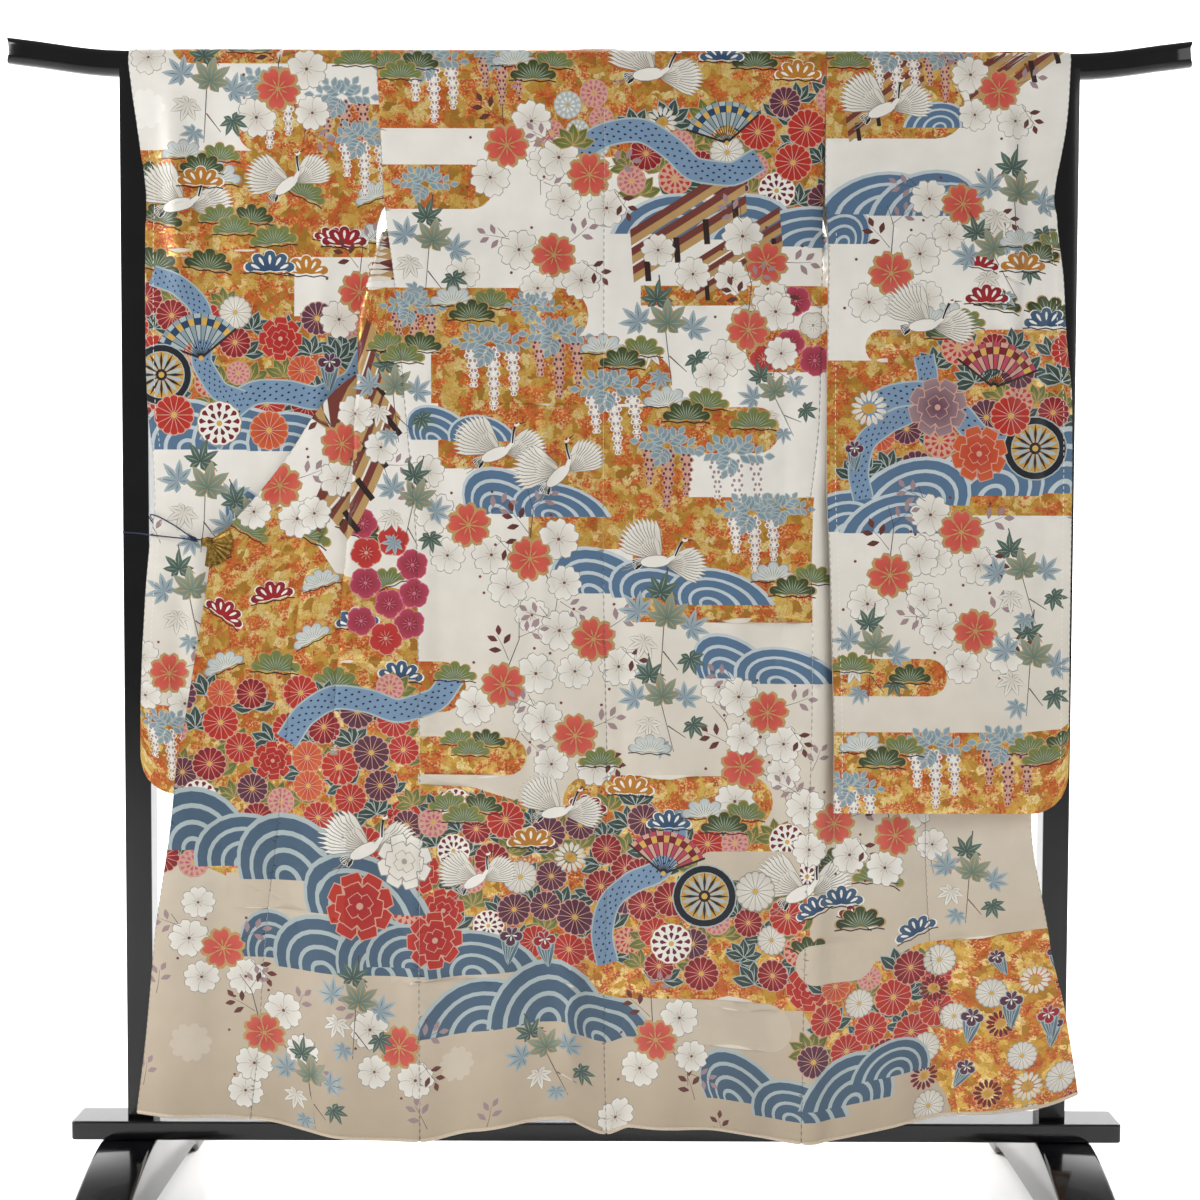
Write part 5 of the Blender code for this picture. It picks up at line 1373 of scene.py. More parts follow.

# Water steps and ribbons lie under everything else that is placed one by one
BODY_SPOTS = table(Spot,
    ("planks", 5, 137.2, 34, 4), ("planks", 14, 134.5, 26, 4), ("planks", -36, 100, 34, 38),
    ("planks", -35, 112, 28, 40), ("ribbon", 10, 156, 26, -10), ("ribbon", -33, 76, 26, 14),
    ("ribbon", 6, 50, 24, 60), ("spray_low", -13.4, 157.2, 6.6, 10), ("spray", -1.4, 153.0, 6.6),
    ("spray", -6.5, 141.2, 6.6, 20), ("spray", 24.0, 140.2, 6.6, -20), ("spray_low", 21.4, 130.4, 6.3),
    ("line", 8.5, 142.0, 5.0), ("line", -19.5, 138.6, 5.0, 20), ("line", 13.5, 138.5, 5.2, 30),
    ("maples", -24.4, 143.2, 7.3), ("maples", 9.5, 131.2, 7.6, 10), ("maples", 25.0, 121.4, 5.9, 30),
    ("line", 16.0, 124.0, 5.0), ("leaflets", -25.2, 151.6, 15), ("spray", -18.6, 102.4, 6.6, 10),
    ("spray_low", -9.8, 97.6, 6.6), ("spray", -0.6, 86.0, 6.6, 15), ("spray_low", -13.6, 79.4, 6.6, -15),
    ("spray", -3.2, 72.0, 6.6, 5), ("spray_low", 21.0, 67.6, 6.6, 25), ("spray", 24.6, 75.4, 6.3),
    ("maples", 9.6, 89.0, 7.8), ("maples", 9.0, 77.6, 7.0, 18), ("spray", -46, 108, 6.6),
    ("spray_low", -37, 114, 6.3, 30), ("line", -41, 104, 5.0, 12), ("line", -24.5, 110, 5.0, 12),
    ("maples", -29.5, 122, 6.8, 10), ("maples", -26.5, 106, 6.8, -10), ("wisteria", -24.4, 169.2, 17),
    ("wisteria_plum", -14.6, 170.5, 15), ("pines_low", -28.4, 167.0, 6.8), ("pines", -9.6, 166.8, 7.4),
    ("crane", 7.4, 167.6, 16, -12), ("pines", 22.4, 168.6, 7.4), ("pine_ochre", 28.6, 166.8, 7.2),
    ("pine_navy", 17.6, 169.4, 7.0), ("fan", 18.4, 157.6, 12, 12), ("olive_leaves", -3.8, 157.2, 6.4),
    ("wisteria_plum", -26.8, 133.4, 15), ("pines", -18.2, 132.0, 7.4), ("leaflets", -9.4, 133.6, 13),
    ("wisteria", -15.6, 128.2, 18), ("wisteria_plum", -6.2, 129.4, 17), ("pines_low", -27.8, 126.0, 7.0),
    ("wisteria", 1.6, 121.8, 18, 4), ("pines", 3.4, 125.2, 7.4), ("wisteria_plum", 9.8, 113.8, 17, -4),
    ("wisteria", 19.4, 112.4, 18), ("pines", 12.6, 117.6, 7.6), ("pine_olive", 22.2, 116.4, 7.4),
    ("crane", -14.5, 112.8, 15, 4), ("crane", -5.6, 109.8, 15, 26), ("crane", 8.6, 97.4, 15, -14),
    ("wisteria", 22.0, 104.2, 17), ("leaflets", 26.6, 104.8, 14), ("pines", 28.0, 92.6, 7.4),
    ("pine_olive", -20.6, 80.0, 6.8), ("pines_low", -18.0, 69.4, 6.2), ("pine_white", 7.6, 69.6, 6.6),
    ("pine_olive", 0.4, 67.6, 6.8), ("pine_ochre", 4.8, 63.4, 7.4), ("pine_red", -1.8, 60.6, 7.0),
    ("pine_navy", 10.4, 58.6, 7.0), ("pines", 18.4, 58.2, 7.6), ("pines_low", -19.0, 59.6, 7.0),
    ("pine_ochre", -9.6, 55.8, 7.4), ("crane", -33.5, 55.4, 16, 8), ("crane", -5.8, 61.0, 14, -8),
    ("crane", -17.5, 51.0, 13, 14), ("crane", 29.8, 49.6, 16, 12), ("peony_red", -34.5, 47.2, 10.5),
    ("peony_red", -23.6, 42.4, 8.8, 30), ("peony_white", -28.0, 53.6, 8.6),
    ("iris_plum", -12.4, 42.6, 10, -6), ("iris_red", -7.6, 41.6, 10, 8), ("wheel", 15.6, 48.6, 9.4),
    ("fan_rose", 9.6, 52.0, 12.5, -10), ("kiku_white", 23.0, 49.4, 6.0), ("drop_maroon", 10.8, 41.6, 6.2),
    ("pine_navy", 35.6, 47.4, 7.2), ("pine_olive", 40.6, 50.6, 7.4), ("pine_green", 38.4, 44.0, 8.0),
    ("spray", 34.4, 59.2, 6.3), ("spray_low", 43.4, 57.4, 6.3, 20), ("maples", 54.4, 51.6, 6.8),
    ("spray", -54.5, 39.8, 6.6, 10), ("spray_low", -48.6, 27.0, 6.3, 20), ("spray", -28.8, 27.4, 6.3),
    ("spray_low", 8.6, 27.2, 6.3, 10), ("maples", -35.0, 33.6, 7.0), ("maples", -7.6, 24.6, 6.8, 30),
    ("maples", -42.0, 22.0, 6.5, 10), ("line", -58, 47.0, 5.0), ("iris_plum", 60.6, 31.4, 10.6),
    ("iris_plum", 55.0, 29.0, 9.8, -8), ("iris_red", 66.0, 28.4, 10.0, 8),
)
LEFT_SPOTS = table(Spot,
    ("ribbon", -45, 120.6, 26, 22), ("ribbon", -58, 129.4, 22, -62), ("wisteria", -48.2, 165.4, 17),
    ("wisteria_plum", -37.2, 164.0, 17), ("wisteria", -34.4, 158.0, 16), ("spray_low", -46.4, 165.2, 6.6),
    ("maples", -56.6, 166.2, 7.6), ("pine_green", -50.6, 170.6, 7.2), ("pine_olive", -35.2, 168.6, 7.2),
    ("pines", -57.4, 153.4, 7.0), ("crane", -60.4, 148.6, 16, -4), ("crane", -45.0, 151.6, 14, 20),
    ("pine_ochre", -57.6, 151.2, 7.2), ("pines_low", -52.4, 144.6, 7.0), ("pine_red", -36.8, 142.6, 7.2),
    ("pine_navy", -47.6, 138.8, 8.0), ("spray_low", -34.6, 136.0, 6.3), ("fan", -57.6, 126.4, 13, 10),
    ("wheel", -63.4, 124.0, 9.0), ("iris_plum", -39.0, 126.0, 10.0), ("drop_maroon", -55.0, 117.0, 6.6),
    ("kiku_red", -61.6, 118.2, 6.0), ("kiku_orange", -47.8, 116.0, 5.8), ("maples", -57.2, 107.6, 8.1),
    ("maples", -50.6, 103.0, 7.0, 30), ("spray", -36.2, 91.6, 6.6), ("maples", -59.6, 92.6, 7.3, 16),
    ("spray_low", -44.6, 82.6, 6.3), ("spray", -62.6, 80.6, 6.1), ("leaflets", -56.4, 73.0, 14),
    ("pines", -45.6, 72.4, 7.2), ("wisteria", -62.8, 72.6, 15),
)
RIGHT_SPOTS = table(Spot,
    ("planks", 54, 160.4, 30, 10), ("planks", 36, 157.6, 24, 8), ("ribbon", 42, 116.6, 22, 60),
    ("ribbon", 51, 117.6, 26, -14), ("pines_low", 36.4, 168.8, 6.6), ("wisteria", 42.4, 170.6, 16),
    ("wisteria_plum", 49.4, 170.6, 14), ("crane", 41.0, 162.6, 15, 6), ("spray", 57.6, 165.2, 6.1),
    ("spray_low", 41.6, 138.4, 6.6), ("spray", 52.2, 148.6, 6.3, 20), ("maples", 59.8, 150.0, 7.8),
    ("maples", 56.0, 141.6, 6.8, 30), ("pines", 62.6, 140.6, 6.8), ("pine_ochre", 60.4, 138.8, 7.2),
    ("pine_red", 55.2, 134.2, 6.8), ("pine_navy", 63.8, 130.8, 7.2), ("pines", 49.6, 129.4, 6.8),
    ("crane", 46.6, 131.2, 15, -10), ("fan_rose", 56.4, 122.2, 13, -8), ("wheel", 62.4, 113.6, 9.2),
    ("peony_plum", 48.4, 119.4, 9.0), ("peony_orange", 54.4, 112.8, 8.6), ("kiku_red", 58.8, 118.2, 5.8),
    ("daisy_white", 38.6, 119.2, 5.4), ("iris_plum", 36.6, 113.6, 8.0), ("spray", 52.0, 101.6, 6.6),
    ("spray_low", 41.8, 95.4, 6.6), ("spray", 54.2, 87.4, 6.6, 25), ("maples", 39.4, 85.0, 6.8),
    ("maples", 62.2, 83.6, 7.3), ("maples", 60.6, 96.0, 6.8, 20), ("pine_olive", 36.6, 81.6, 6.8),
    ("pine_green", 44.8, 80.0, 6.8), ("wisteria", 48.2, 70.6, 17), ("wisteria_plum", 58.6, 71.0, 17),
    ("pines", 41.0, 68.0, 7.6), ("pines_low", 64.6, 68.4, 7.0), ("wisteria", 36.6, 64.6, 15),
)


def cm(rows):
    return [tuple(value / 100 for value in row) for row in rows]


def placed(spots):
    return joined(*((KINDS[spot.kind], spot.x / 100, spot.z / 100, spot.size / 200, spot.turn)
                    for spot in spots))


def strewn(field, taken):
    """Motifs strewn over an outline, none nearer to another than their sizes and the gap allow."""
    rng = random.Random(field.seed)
    (left, bottom), (right, top) = np.min(field.outline, axis=0), np.max(field.outline, axis=0)
    bag = [sort for sort in field.sorts for _ in range(sort.share)]
    spots = []
    for _ in range(900):
        sort = rng.choice(bag)
        place = (rng.uniform(left, right), rng.uniform(bottom, top))
        if not enclosed(np.array([place]), field.outline)[0]:
            continue
        near = [(other, math.dist(place, (other.x, other.z))) for other in spots + taken]
        if all(gap > field.gap * (other.size + sort.size) / 2 for other, gap in near):
            spots.append(Spot(sort.kind, *place, sort.size * rng.uniform(0.88, 1.12), rng.uniform(-35, 35)))
    return spots


def uncovered(parts):
    """The shapes without those that a later one hides, which would only cost faces."""
    lows = np.array([part.points.min(axis=0) for part in parts])
    highs = np.array([part.points.max(axis=0) for part in parts])
    hidden = np.zeros(len(parts), dtype=bool)
    for number in np.flatnonzero((highs - lows).min(axis=1) > 0.006):
        inside = (lows[:number] > lows[number]) & (highs[:number] < highs[number])
        for index in np.flatnonzero(inside.all(axis=1) & ~hidden[:number]):
            hidden[index] = enclosed(parts[index].points, parts[number].points).all()
    return [part for part, gone in zip(parts, hidden) if not gone]


def sparser(fields, share=1.8):
    """The same fields with their motifs set further apart."""
    return [field._replace(gap=field.gap * share) for field in fields]


def design(bands, beds, fields, pale, spots, wave_groups, tongues=()):
    """All drawn areas of one garment part, from the ground up."""
    made = [shape(cm(outline), "leaf", gilt=1.0) for outline in [mist(*band) for band in bands] + beds]
    for field in pale:
        made += placed(strewn(field, spots))
    for field in fields:
        flowers = strewn(field, [])
        if field.sorts is FLOWERS:
            made += placed(strewn(field._replace(sorts=LEAVES, gap=0.58, seed=field.seed + 200), []))
        made += placed(flowers)
    made += [shape(cm(mist(*band)), "cream") for band in tongues]
    for rows, tones in wave_groups:
        made += waves([Wave(*cm([row[:4]])[0], row.lean) for row in rows], tones)
    return uncovered(made + placed(spots))


def side_outline(first, second, low, high):
    """A panel's outline between two edges, each given as a function of the height."""
    heights = np.linspace(low, high, int((high - low) / 0.030) + 2)
    return [(second(h), h) for h in heights] + [(first(h), h) for h in heights[::-1]]


def box_outline(width, low, high):
    return side_outline(lambda h: 0.0, lambda h: width, low, high)


def line_of(rows, column, shift=0.0):
    """One column of a table as a function of the height."""
    return lambda h: read(rows, column, h) + shift


def left_leg(start, end, number):
    """The drawing of one leg of the left front: places across turned to the leg's own width."""
    def to_cloth(points):
        x, h = points.T
        width = end(h) - start(h)
        width = np.where(np.abs(width) < 0.01, 0.01, width)
        return np.stack((LEG * (number + (x - start(h)) / width), h), axis=-1)
    return Leg(to_cloth, (LEG * number, -1), (LEG * (number + 1), 9))


def right_reach(points):
    """How far along the cloth from the side seam a place on the right front lies, as it shows."""
    x, h = points.T
    side = read(RIGHT_SIDE, "x", h)
    return np.where(h < SPREAD_TOP, x - side, side - x)


def right_to_front(points):
    h = points[:, 1]
    return np.stack((right_reach(points) / read(RIGHT_FRONT, "front_width", h) * RIGHT_WIDTH, h), axis=-1)


def right_to_overlap(points):
    h = points[:, 1]
    reach = right_reach(points) - read(RIGHT_FRONT, "front_width", h)
    return np.stack((reach / read(RIGHT_FRONT, "overlap_width", h) * OVERLAP, h), axis=-1)


def left_to_overlap(points):
    x, h = points.T
    seam = read(LEFT_FRONT, "seam", h)
    width = np.minimum(read(LEFT_FRONT, "fold", h) - seam, -0.005)
    return np.stack(((x - seam) / width * OVERLAP, h), axis=-1)


def fold_line(share, heights, before, column, drawn):
    """Where a bend of the right front runs over a panel's drawing plane."""
    front_y, rear_y, fold, width = (
        read(RIGHT_FRONT, name, heights) for name in ("front_y", "rear_y", "fold", column))
    radius = (rear_y - front_y) / 2
    reach = np.maximum(fold - radius - read(RIGHT_SIDE, "x", heights), 0.0) + math.pi * radius * share
    start = read(RIGHT_FRONT, "front_width", heights) if before else 0.0
    return (reach - start) / width * drawn


def right_folds(before, column, drawn, high):
    """Extra mesh points of a right panel along its fold, those outside the panel left out."""
    folds = [lambda h, s=share: fold_line(s, h, before, column, drawn) for share in (0, 0.25, 0.5, 0.75, 1)]
    points = lines(folds, HEM_HEIGHT, high)
    return points[(points[:, 0] > 0.001) & (points[:, 0] < drawn - 0.001)]


def lines(places, low, high):
    """Extra mesh points in columns, where a panel bends sharply."""
    heights = np.linspace(low, high, int((high - low) / GRID))[1:-1]
    return np.concatenate([
        np.stack((place(heights) if callable(place) else np.full_like(heights, place), heights), axis=-1)
        for place in places])


def sleeve_legs(rows, side_table, sign, far_design):
    """Near and far halves of a sleeve; the far half carries a sparser drawing, turned over."""
    def to_half(far):
        def to_cloth(points):
            x, h = points.T
            inner = np.where(h >= SHOULDER_END, np.abs(read(side_table, "x", h)) + SEAM,
                             read(rows, "inner", h))
            q = (sign * x - inner) / (read(rows, "outer", h) - inner) * SLEEVE_WIDTH
            return np.stack((q, 2 * CREST_TOP - h if far else h), axis=-1)
        return to_cloth
    return [Leg(to_half(False), (-1, -1), (9, CREST_TOP)),
            Leg(to_half(True), (-1, CREST_TOP), (9, 9), far_design)]


def loft(name, rings, sharp):
    """A closed body through rings of equal count, capped at both ends."""
    rings = np.array(rings)
    levels, count = rings.shape[:2]
    faces = [(i * count + j, i * count + (j + 1) % count, (i + 1) * count + (j + 1) % count,
              (i + 1) * count + j)
             for i in range(levels - 1) for j in range(count)]
    faces += [tuple(range(count))[::-1], tuple(range((levels - 1) * count, levels * count))]
    mesh = bpy.data.meshes.new(name)
    mesh.from_pydata(rings.reshape(-1, 3).tolist(), [], faces)
    work = bmesh.new()
    work.from_mesh(mesh)
    bmesh.ops.recalc_face_normals(work, faces=work.faces)
    work.to_mesh(mesh)
    work.free()
    return add_piece(name, mesh, sharp)


def rings_along(path, radius, count=8):
    """Round sections set square to a path, all turned the same way."""
    path = np.array(path)
    along = np.gradient(path, axis=0)
    along /= np.maximum(np.linalg.norm(along, axis=1, keepdims=True), 1e-9)
    side = np.cross(along, (0.0, 1.0, 0.0))
    side /= np.maximum(np.linalg.norm(side, axis=1, keepdims=True), 1e-9)
    up = np.cross(side, along)
    angles = np.linspace(0, 2 * math.pi, count, endpoint=False)[:, None]
    return [p + radius * (np.cos(angles) * a + np.sin(angles) * b) for p, a, b in zip(path, side, up)]


def hem_roll(name, place, low, high):
    """The padded lining roll that shows below a hem."""
    across = np.linspace(low, high, max(int(abs(high - low) / 0.006), 8))
    path = place(np.stack((across, np.full_like(across, HEM_HEIGHT)), axis=-1))
    path[:, 2] += 0.0008
    return finish_piece(loft(name, rings_along(path, HEM_ROLL), 50), HEM_SILK)


def collar_edge(height, sign):
    """Where the collar's sewn edge runs at a height, and its depth."""
    front = read(RIGHT_FRONT, "front_width", height)
    if sign < 0:
        x, y = (read(LEFT_FRONT, column, height) for column in ("fold", "back_y"))
    else:
        overlap = read(RIGHT_FRONT, "overlap_width", height) if height < POINT_HEIGHT else 0.0
        x, y = right_section(front + overlap, height)
    if height > SHOULDER_END:
        x = x if sign < 0 else read(RIGHT_SIDE, "x", height) - front
        y = read(NEAR_BAR, "y", height)
    return float(x), float(y)


def collar_side(sign, low):
    sections = []
    for height in np.linspace(COLLAR_TURN, low, 40):
        edge, y = collar_edge(height, sign)
        lean = (collar_edge(height + 0.02, sign)[0] - collar_edge(height - 0.02, sign)[0]) / 0.04
        width = COLLAR_WIDTH * math.sqrt(1 + min(lean * lean, 1.2))
        sections.append([
            hung(edge + sign * 0.001 - sign * (width + 0.001) * share, y + stand_off(share), height)
            for share in COLLAR_SHARES])
    return sections


def stand_off(share):
    """How far the collar's middle stands off the cloth behind it, from its sewn edge inwards."""
    return 0.0033 + 0.0025 * smoothstep(share / 0.4)


def collar_band():
    """The collar, folded double: up the left front's edge, round the neck and down the right."""
    left = collar_side(-1, COLLAR_LEFT_END)
    right = collar_side(1, COLLAR_RIGHT_END)
    left_x, right_x = left[0][0][0], right[0][0][0]
    middle, half = (left_x + right_x) / 2, (right_x - left_x) / 2
    fall = BAR_TOP - COLLAR_TURN
    neck = []
    for i in range(1, 40):
        angle = math.pi * (1 - i / 40)
        across = math.copysign(abs(math.cos(angle)) ** NECK_SQUARENESS, math.cos(angle))
        up = math.sin(angle) ** NECK_SQUARENESS
        section = []
        for share in COLLAR_SHARES:
            inset = COLLAR_WIDTH * share
            y, z = collar_drop(NECK_DROP + fall - (fall - inset) * up, stand_off(share))
            section.append((middle + (half - inset) * across, y, z))
        neck.append(section)
    return left[::-1] + neck + right


def collar_drop(drop, off):
    """Depth and height of the collar that far down the bar's far side, standing off its cloth."""
    along = CREST_TOP - drop
    y, z = crest(along)
    y = y + off * np.cos(crest_angle(along))
    z = z + off * np.sin(crest_angle(along))
    return float(y + read(NEAR_BAR, "y", z) - NEAR_BAR[0].y), float(z)


def finish_piece(piece, surface, node=None):
    """Give a piece its material, attach it to the root body, and hide the CAD node that it stands for."""
    piece.data.materials.clear()
    piece.data.materials.append(surface)
    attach(piece, "root")
    if node:
        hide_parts(node)
    return piece


def add(tree, kind, settings=None, stops=(), **inputs):
    """A node with its settings; an input is a value, or the socket that feeds it."""
    made = tree.nodes.new("ShaderNode" + kind)
    for name, value in (settings or {}).items():
        setattr(made, name, value)
    for _ in stops[2:]:
        made.color_ramp.elements.new(1.0)
    for number, (place, tone) in enumerate(stops):
        made.color_ramp.elements[number].position = place
        tone = linear(tone) if isinstance(tone, str) else (tone, tone, tone)
        made.color_ramp.elements[number].color = (*tone, 1.0)
    for name, value in inputs.items():
        socket = made.inputs[int(name[1:]) if name[1:].isdigit() else name.replace("_", " ")]
        if isinstance(value, bpy.types.NodeSocket):
            tree.links.new(value, socket)
        else:
            socket.default_value = value
    return made


def new_material(name, **sockets):
    made = bpy.data.materials.new(name)
    made.use_nodes = True
    shader = made.node_tree.nodes["Principled BSDF"]
    for key, value in sockets.items():
        shader.inputs[key.replace("_", " ")].default_value = value
    return made, made.node_tree, shader


def dyed_silk():
    """Figured silk crepe, resist dyed and gilded: a soft glow, a fine pebbled grain, and gold
    leaf that has crackled over its red ground."""
    made, tree, shader = new_material("dyed_silk_crepe", Sheen_Weight=0.25, Sheen_Roughness=0.4)
    node = partial(add, tree)
    cloth = node("UVMap", {"uv_map": "cloth"}).outputs[0]
    dye, gilt = (node("Attribute", {"attribute_name": name}) for name in ("dye", "gilt"))
    # leaf laid in flakes of 10 to 25 mm, worn through to the red in ragged patches and fine cracks
    ragged = node("TexNoise", Vector=cloth, Scale=90.0, Detail=4.0)
    offset = node("VectorMath", {"operation": "MULTIPLY_ADD"}, i0=ragged.outputs["Color"],
                  i1=(0.022, 0.022, 0.0), i2=cloth).outputs[0]
    flakes = node("TexVoronoi", Vector=offset, Scale=75.0)
    cracks = node("TexVoronoi", {"feature": "DISTANCE_TO_EDGE"}, Vector=offset, Scale=150.0)
    tone = node("SeparateColor", Color=flakes.outputs["Color"])
    golds = node("ValToRGB", Fac=tone.outputs[0], stops=(
        (0.0, "#A67C2B"), (0.3, "#CB9E3F"), (0.6, "#E2BF61"), (1.0, "#F5E19A")))
    patches = node("TexNoise", Vector=cloth, Scale=36.0, Detail=5.0, Roughness=0.65)
    zones = node("ValToRGB", Fac=patches.outputs["Fac"], stops=((0.485, 0.0), (0.53, 1.0)))
    specks = node("TexNoise", Vector=cloth, Scale=300.0, Detail=3.0, Roughness=0.6)
    rubbed = node("ValToRGB", Fac=specks.outputs["Fac"], stops=((0.40, 0.1), (0.50, 1.0)))
    bare = node("Math", {"operation": "MULTIPLY"}, i0=zones.outputs[0], i1=rubbed.outputs[0])
    crack = node("ValToRGB", Fac=cracks.outputs["Distance"], stops=((0.02, 0.6), (0.06, 0.0)))
    gone = node("Math", {"operation": "MAXIMUM"}, i0=bare.outputs[0], i1=crack.outputs[0])
    reds = node("ValToRGB", Fac=ragged.outputs["Fac"], stops=((0.35, "#AE3A15"), (0.65, "#D66429")))
    worn = node("Mix", {"data_type": "RGBA"}, Factor=gone.outputs[0], i6=golds.outputs[0],
                i7=reds.outputs[0])
    leaf = node("Math", {"operation": "GREATER_THAN"}, i0=gilt.outputs["Fac"], i1=0.75)
    base = node("Mix", {"data_type": "RGBA"}, Factor=leaf.outputs[0], i6=dye.outputs["Color"],
                i7=worn.outputs[2])
    # dye takes a little unevenly, over a few centimetres
    uneven = node("TexNoise", Vector=cloth, Scale=22.0, Detail=2.0)
    shade = node("ValToRGB", Fac=uneven.outputs["Fac"], stops=((0.3, 0.93), (0.7, 1.0)))
    tinted = node("Mix", {"data_type": "RGBA", "blend_type": "MULTIPLY"}, Factor=1.0,
                  i6=base.outputs[2], i7=shade.outputs[0])
    left = node("Math", {"operation": "MULTIPLY_ADD"}, i0=gone.outputs[0], i1=-0.85, i2=1.0)
    bright = node("Math", {"operation": "MULTIPLY"}, i0=gilt.outputs["Fac"], i1=left.outputs[0])
    metal = node("Math", {"operation": "MULTIPLY"}, i0=bright.outputs[0], i1=0.5)
    dull = node("Math", {"operation": "MULTIPLY_ADD"}, i0=leaf.outputs[0], i1=-0.02, i2=0.36)
    # the crepe's pebbles are under 1 mm; 2 mm here so that they show
    grain = node("TexNoise", Vector=cloth, Scale=520.0, Detail=2.0)
    bump = node("Bump", Strength=0.12, Distance=0.0004, Height=grain.outputs["Fac"])
    for socket, name in ((tinted.outputs[2], "Base Color"), (metal.outputs[0], "Metallic"),
                         (dull.outputs[0], "Roughness"), (bump.outputs[0], "Normal")):
        tree.links.new(socket, shader.inputs[name])
    return made


def grained(name, kind, settings, pattern, stops, bump=None, **sockets):
    """A material that runs between two tones by a pattern, which may raise it too."""
    made, tree, shader = new_material(name, **sockets)
    place = add(tree, "TexCoord")
    grain = add(tree, kind, settings, Vector=place.outputs["Object"], **pattern)
    tone = add(tree, "ValToRGB", Fac=grain.outputs["Fac"], stops=stops)
    tree.links.new(tone.outputs[0], shader.inputs["Base Color"])
    if bump:
        raised = add(tree, "Bump", Strength=bump[0], Distance=bump[1], Height=grain.outputs["Fac"])
        tree.links.new(raised.outputs[0], shader.inputs["Normal"])
    return made


def plain_silk(name, dark, light):
    """Plain silk for the rolled hems and the collar: soft and close."""
    return grained(name, "TexNoise", {}, {"Scale": 500.0, "Detail": 2.0}, ((0.3, dark), (0.7, light)),
                   (0.12, 0.0004), Roughness=0.45, Sheen_Weight=0.25, Sheen_Roughness=0.4)


def lacquer():
    """Black lacquer on wood: deep gloss over a surface that is never quite flat."""
    return grained("black_lacquer_on_wood", "TexNoise", {}, {"Scale": 18.0, "Detail": 1.0},
                   ((0.3, "#040406"), (0.7, "#09090C")), (0.06, 0.002), Roughness=0.14,
                   Specular_IOR_Level=0.35, Coat_Weight=0.3, Coat_Roughness=0.05)


def gilt_brass():
    """Antique gilt brass: warm where it is rubbed, dull and brown in its hollows."""
    return grained("gilt_stamped_brass", "TexNoise", {}, {"Scale": 350.0, "Detail": 3.0},
                   ((0.3, "#5E4720"), (0.65, "#A88646")), Roughness=0.38, Metallic=1.0)


def braided_elastic():
    """Round navy elastic with a braided cover."""
    return grained("navy_braided_elastic", "TexWave", {"bands_direction": "DIAGONAL"},
                   {"Scale": 420.0, "Distortion": 1.0}, ((0.2, "#0B1230"), (0.8, "#24305A")), (0.3, 0.0003),
                   Roughness=0.75, Sheen_Weight=0.2)


def studio_paper():
    """Matt white studio paper."""
    return grained("white_studio_paper", "TexNoise", {}, {"Scale": 2.0, "Detail": 1.0},
                   ((0.3, "#F2F2F2"), (0.7, "#F5F5F5")), Roughness=0.9)


def select_in(piece, test, kind="faces"):
    """In edit mode, select only the faces or edges whose middle passes a test."""
    bpy.ops.mesh.select_mode(type="FACE" if kind == "faces" else "EDGE")
    bpy.ops.mesh.select_all(action="DESELECT")
    work = bmesh.from_edit_mesh(piece.data)
    for element in getattr(work, kind):
        middle = sum((vertex.co for vertex in element.verts), Vector()) / len(element.verts)
        if test(middle, element):
            element.select_set(True)
    work.select_flush_mode()
    bmesh.update_edit_mesh(piece.data)


def block(name, low, high):
    """A block between two corners, in edit mode."""
    bpy.ops.object.select_all(action="DESELECT")
    low, high = Vector(low), Vector(high)
    bpy.ops.mesh.primitive_cube_add(size=1.0, location=(low + high) / 2)
    piece = bpy.context.object
    piece.name = piece.data.name = name
    piece.scale = high - low
    bpy.ops.object.transform_apply(location=True, rotation=True, scale=True)
    bpy.ops.object.mode_set(mode="EDIT")
    return piece


def extrude(x=0.0, y=0.0, z=0.0):
    bpy.ops.mesh.extrude_region_move(TRANSFORM_OT_translate={"value": (x, y, z)})


def draw_out(piece, axis, start, ends):
    """Draw a block out both ways along x or y, from its end faces and a step at a time."""
    def at_end(middle, face):
        return abs(getattr(middle, axis) - place) < 1e-4 and abs(getattr(face.normal, axis)) > 0.9

    for side in (-1, 1):
        place = side * start
        for end in ends:
            select_in(piece, at_end)
            extrude(**{axis: side * end - place})
            place = side * end


def cut_through(plane_y):
    bpy.ops.mesh.select_all(action="SELECT")
    bpy.ops.mesh.bisect(plane_co=(0.0, plane_y, 1.0), plane_no=(0, 1, 0))


def shaped(piece, move):
    """Set the height of a piece's vertices, and their place across, by a function of the vertex."""
    bpy.ops.object.mode_set(mode="OBJECT")
    for vertex in piece.data.vertices:
        move(vertex.co)
    bpy.ops.object.mode_set(mode="EDIT")


def dressed(piece, surface, node, bevel, segments, limit):
    """Round a hard piece's edges, smooth it, and let it stand for its node."""
    bpy.ops.object.mode_set(mode="OBJECT")
    rounding = piece.modifiers.new("rounding", "BEVEL")
    rounding.width = bevel
    rounding.segments = segments
    rounding.limit_method = "ANGLE"
    rounding.angle_limit = math.radians(limit)
    bpy.ops.object.modifier_apply(modifier="rounding")
    bpy.ops.object.shade_smooth_by_angle(angle=math.radians(40))
    bpy.ops.object.select_all(action="DESELECT")
    return finish_piece(piece, surface, node)


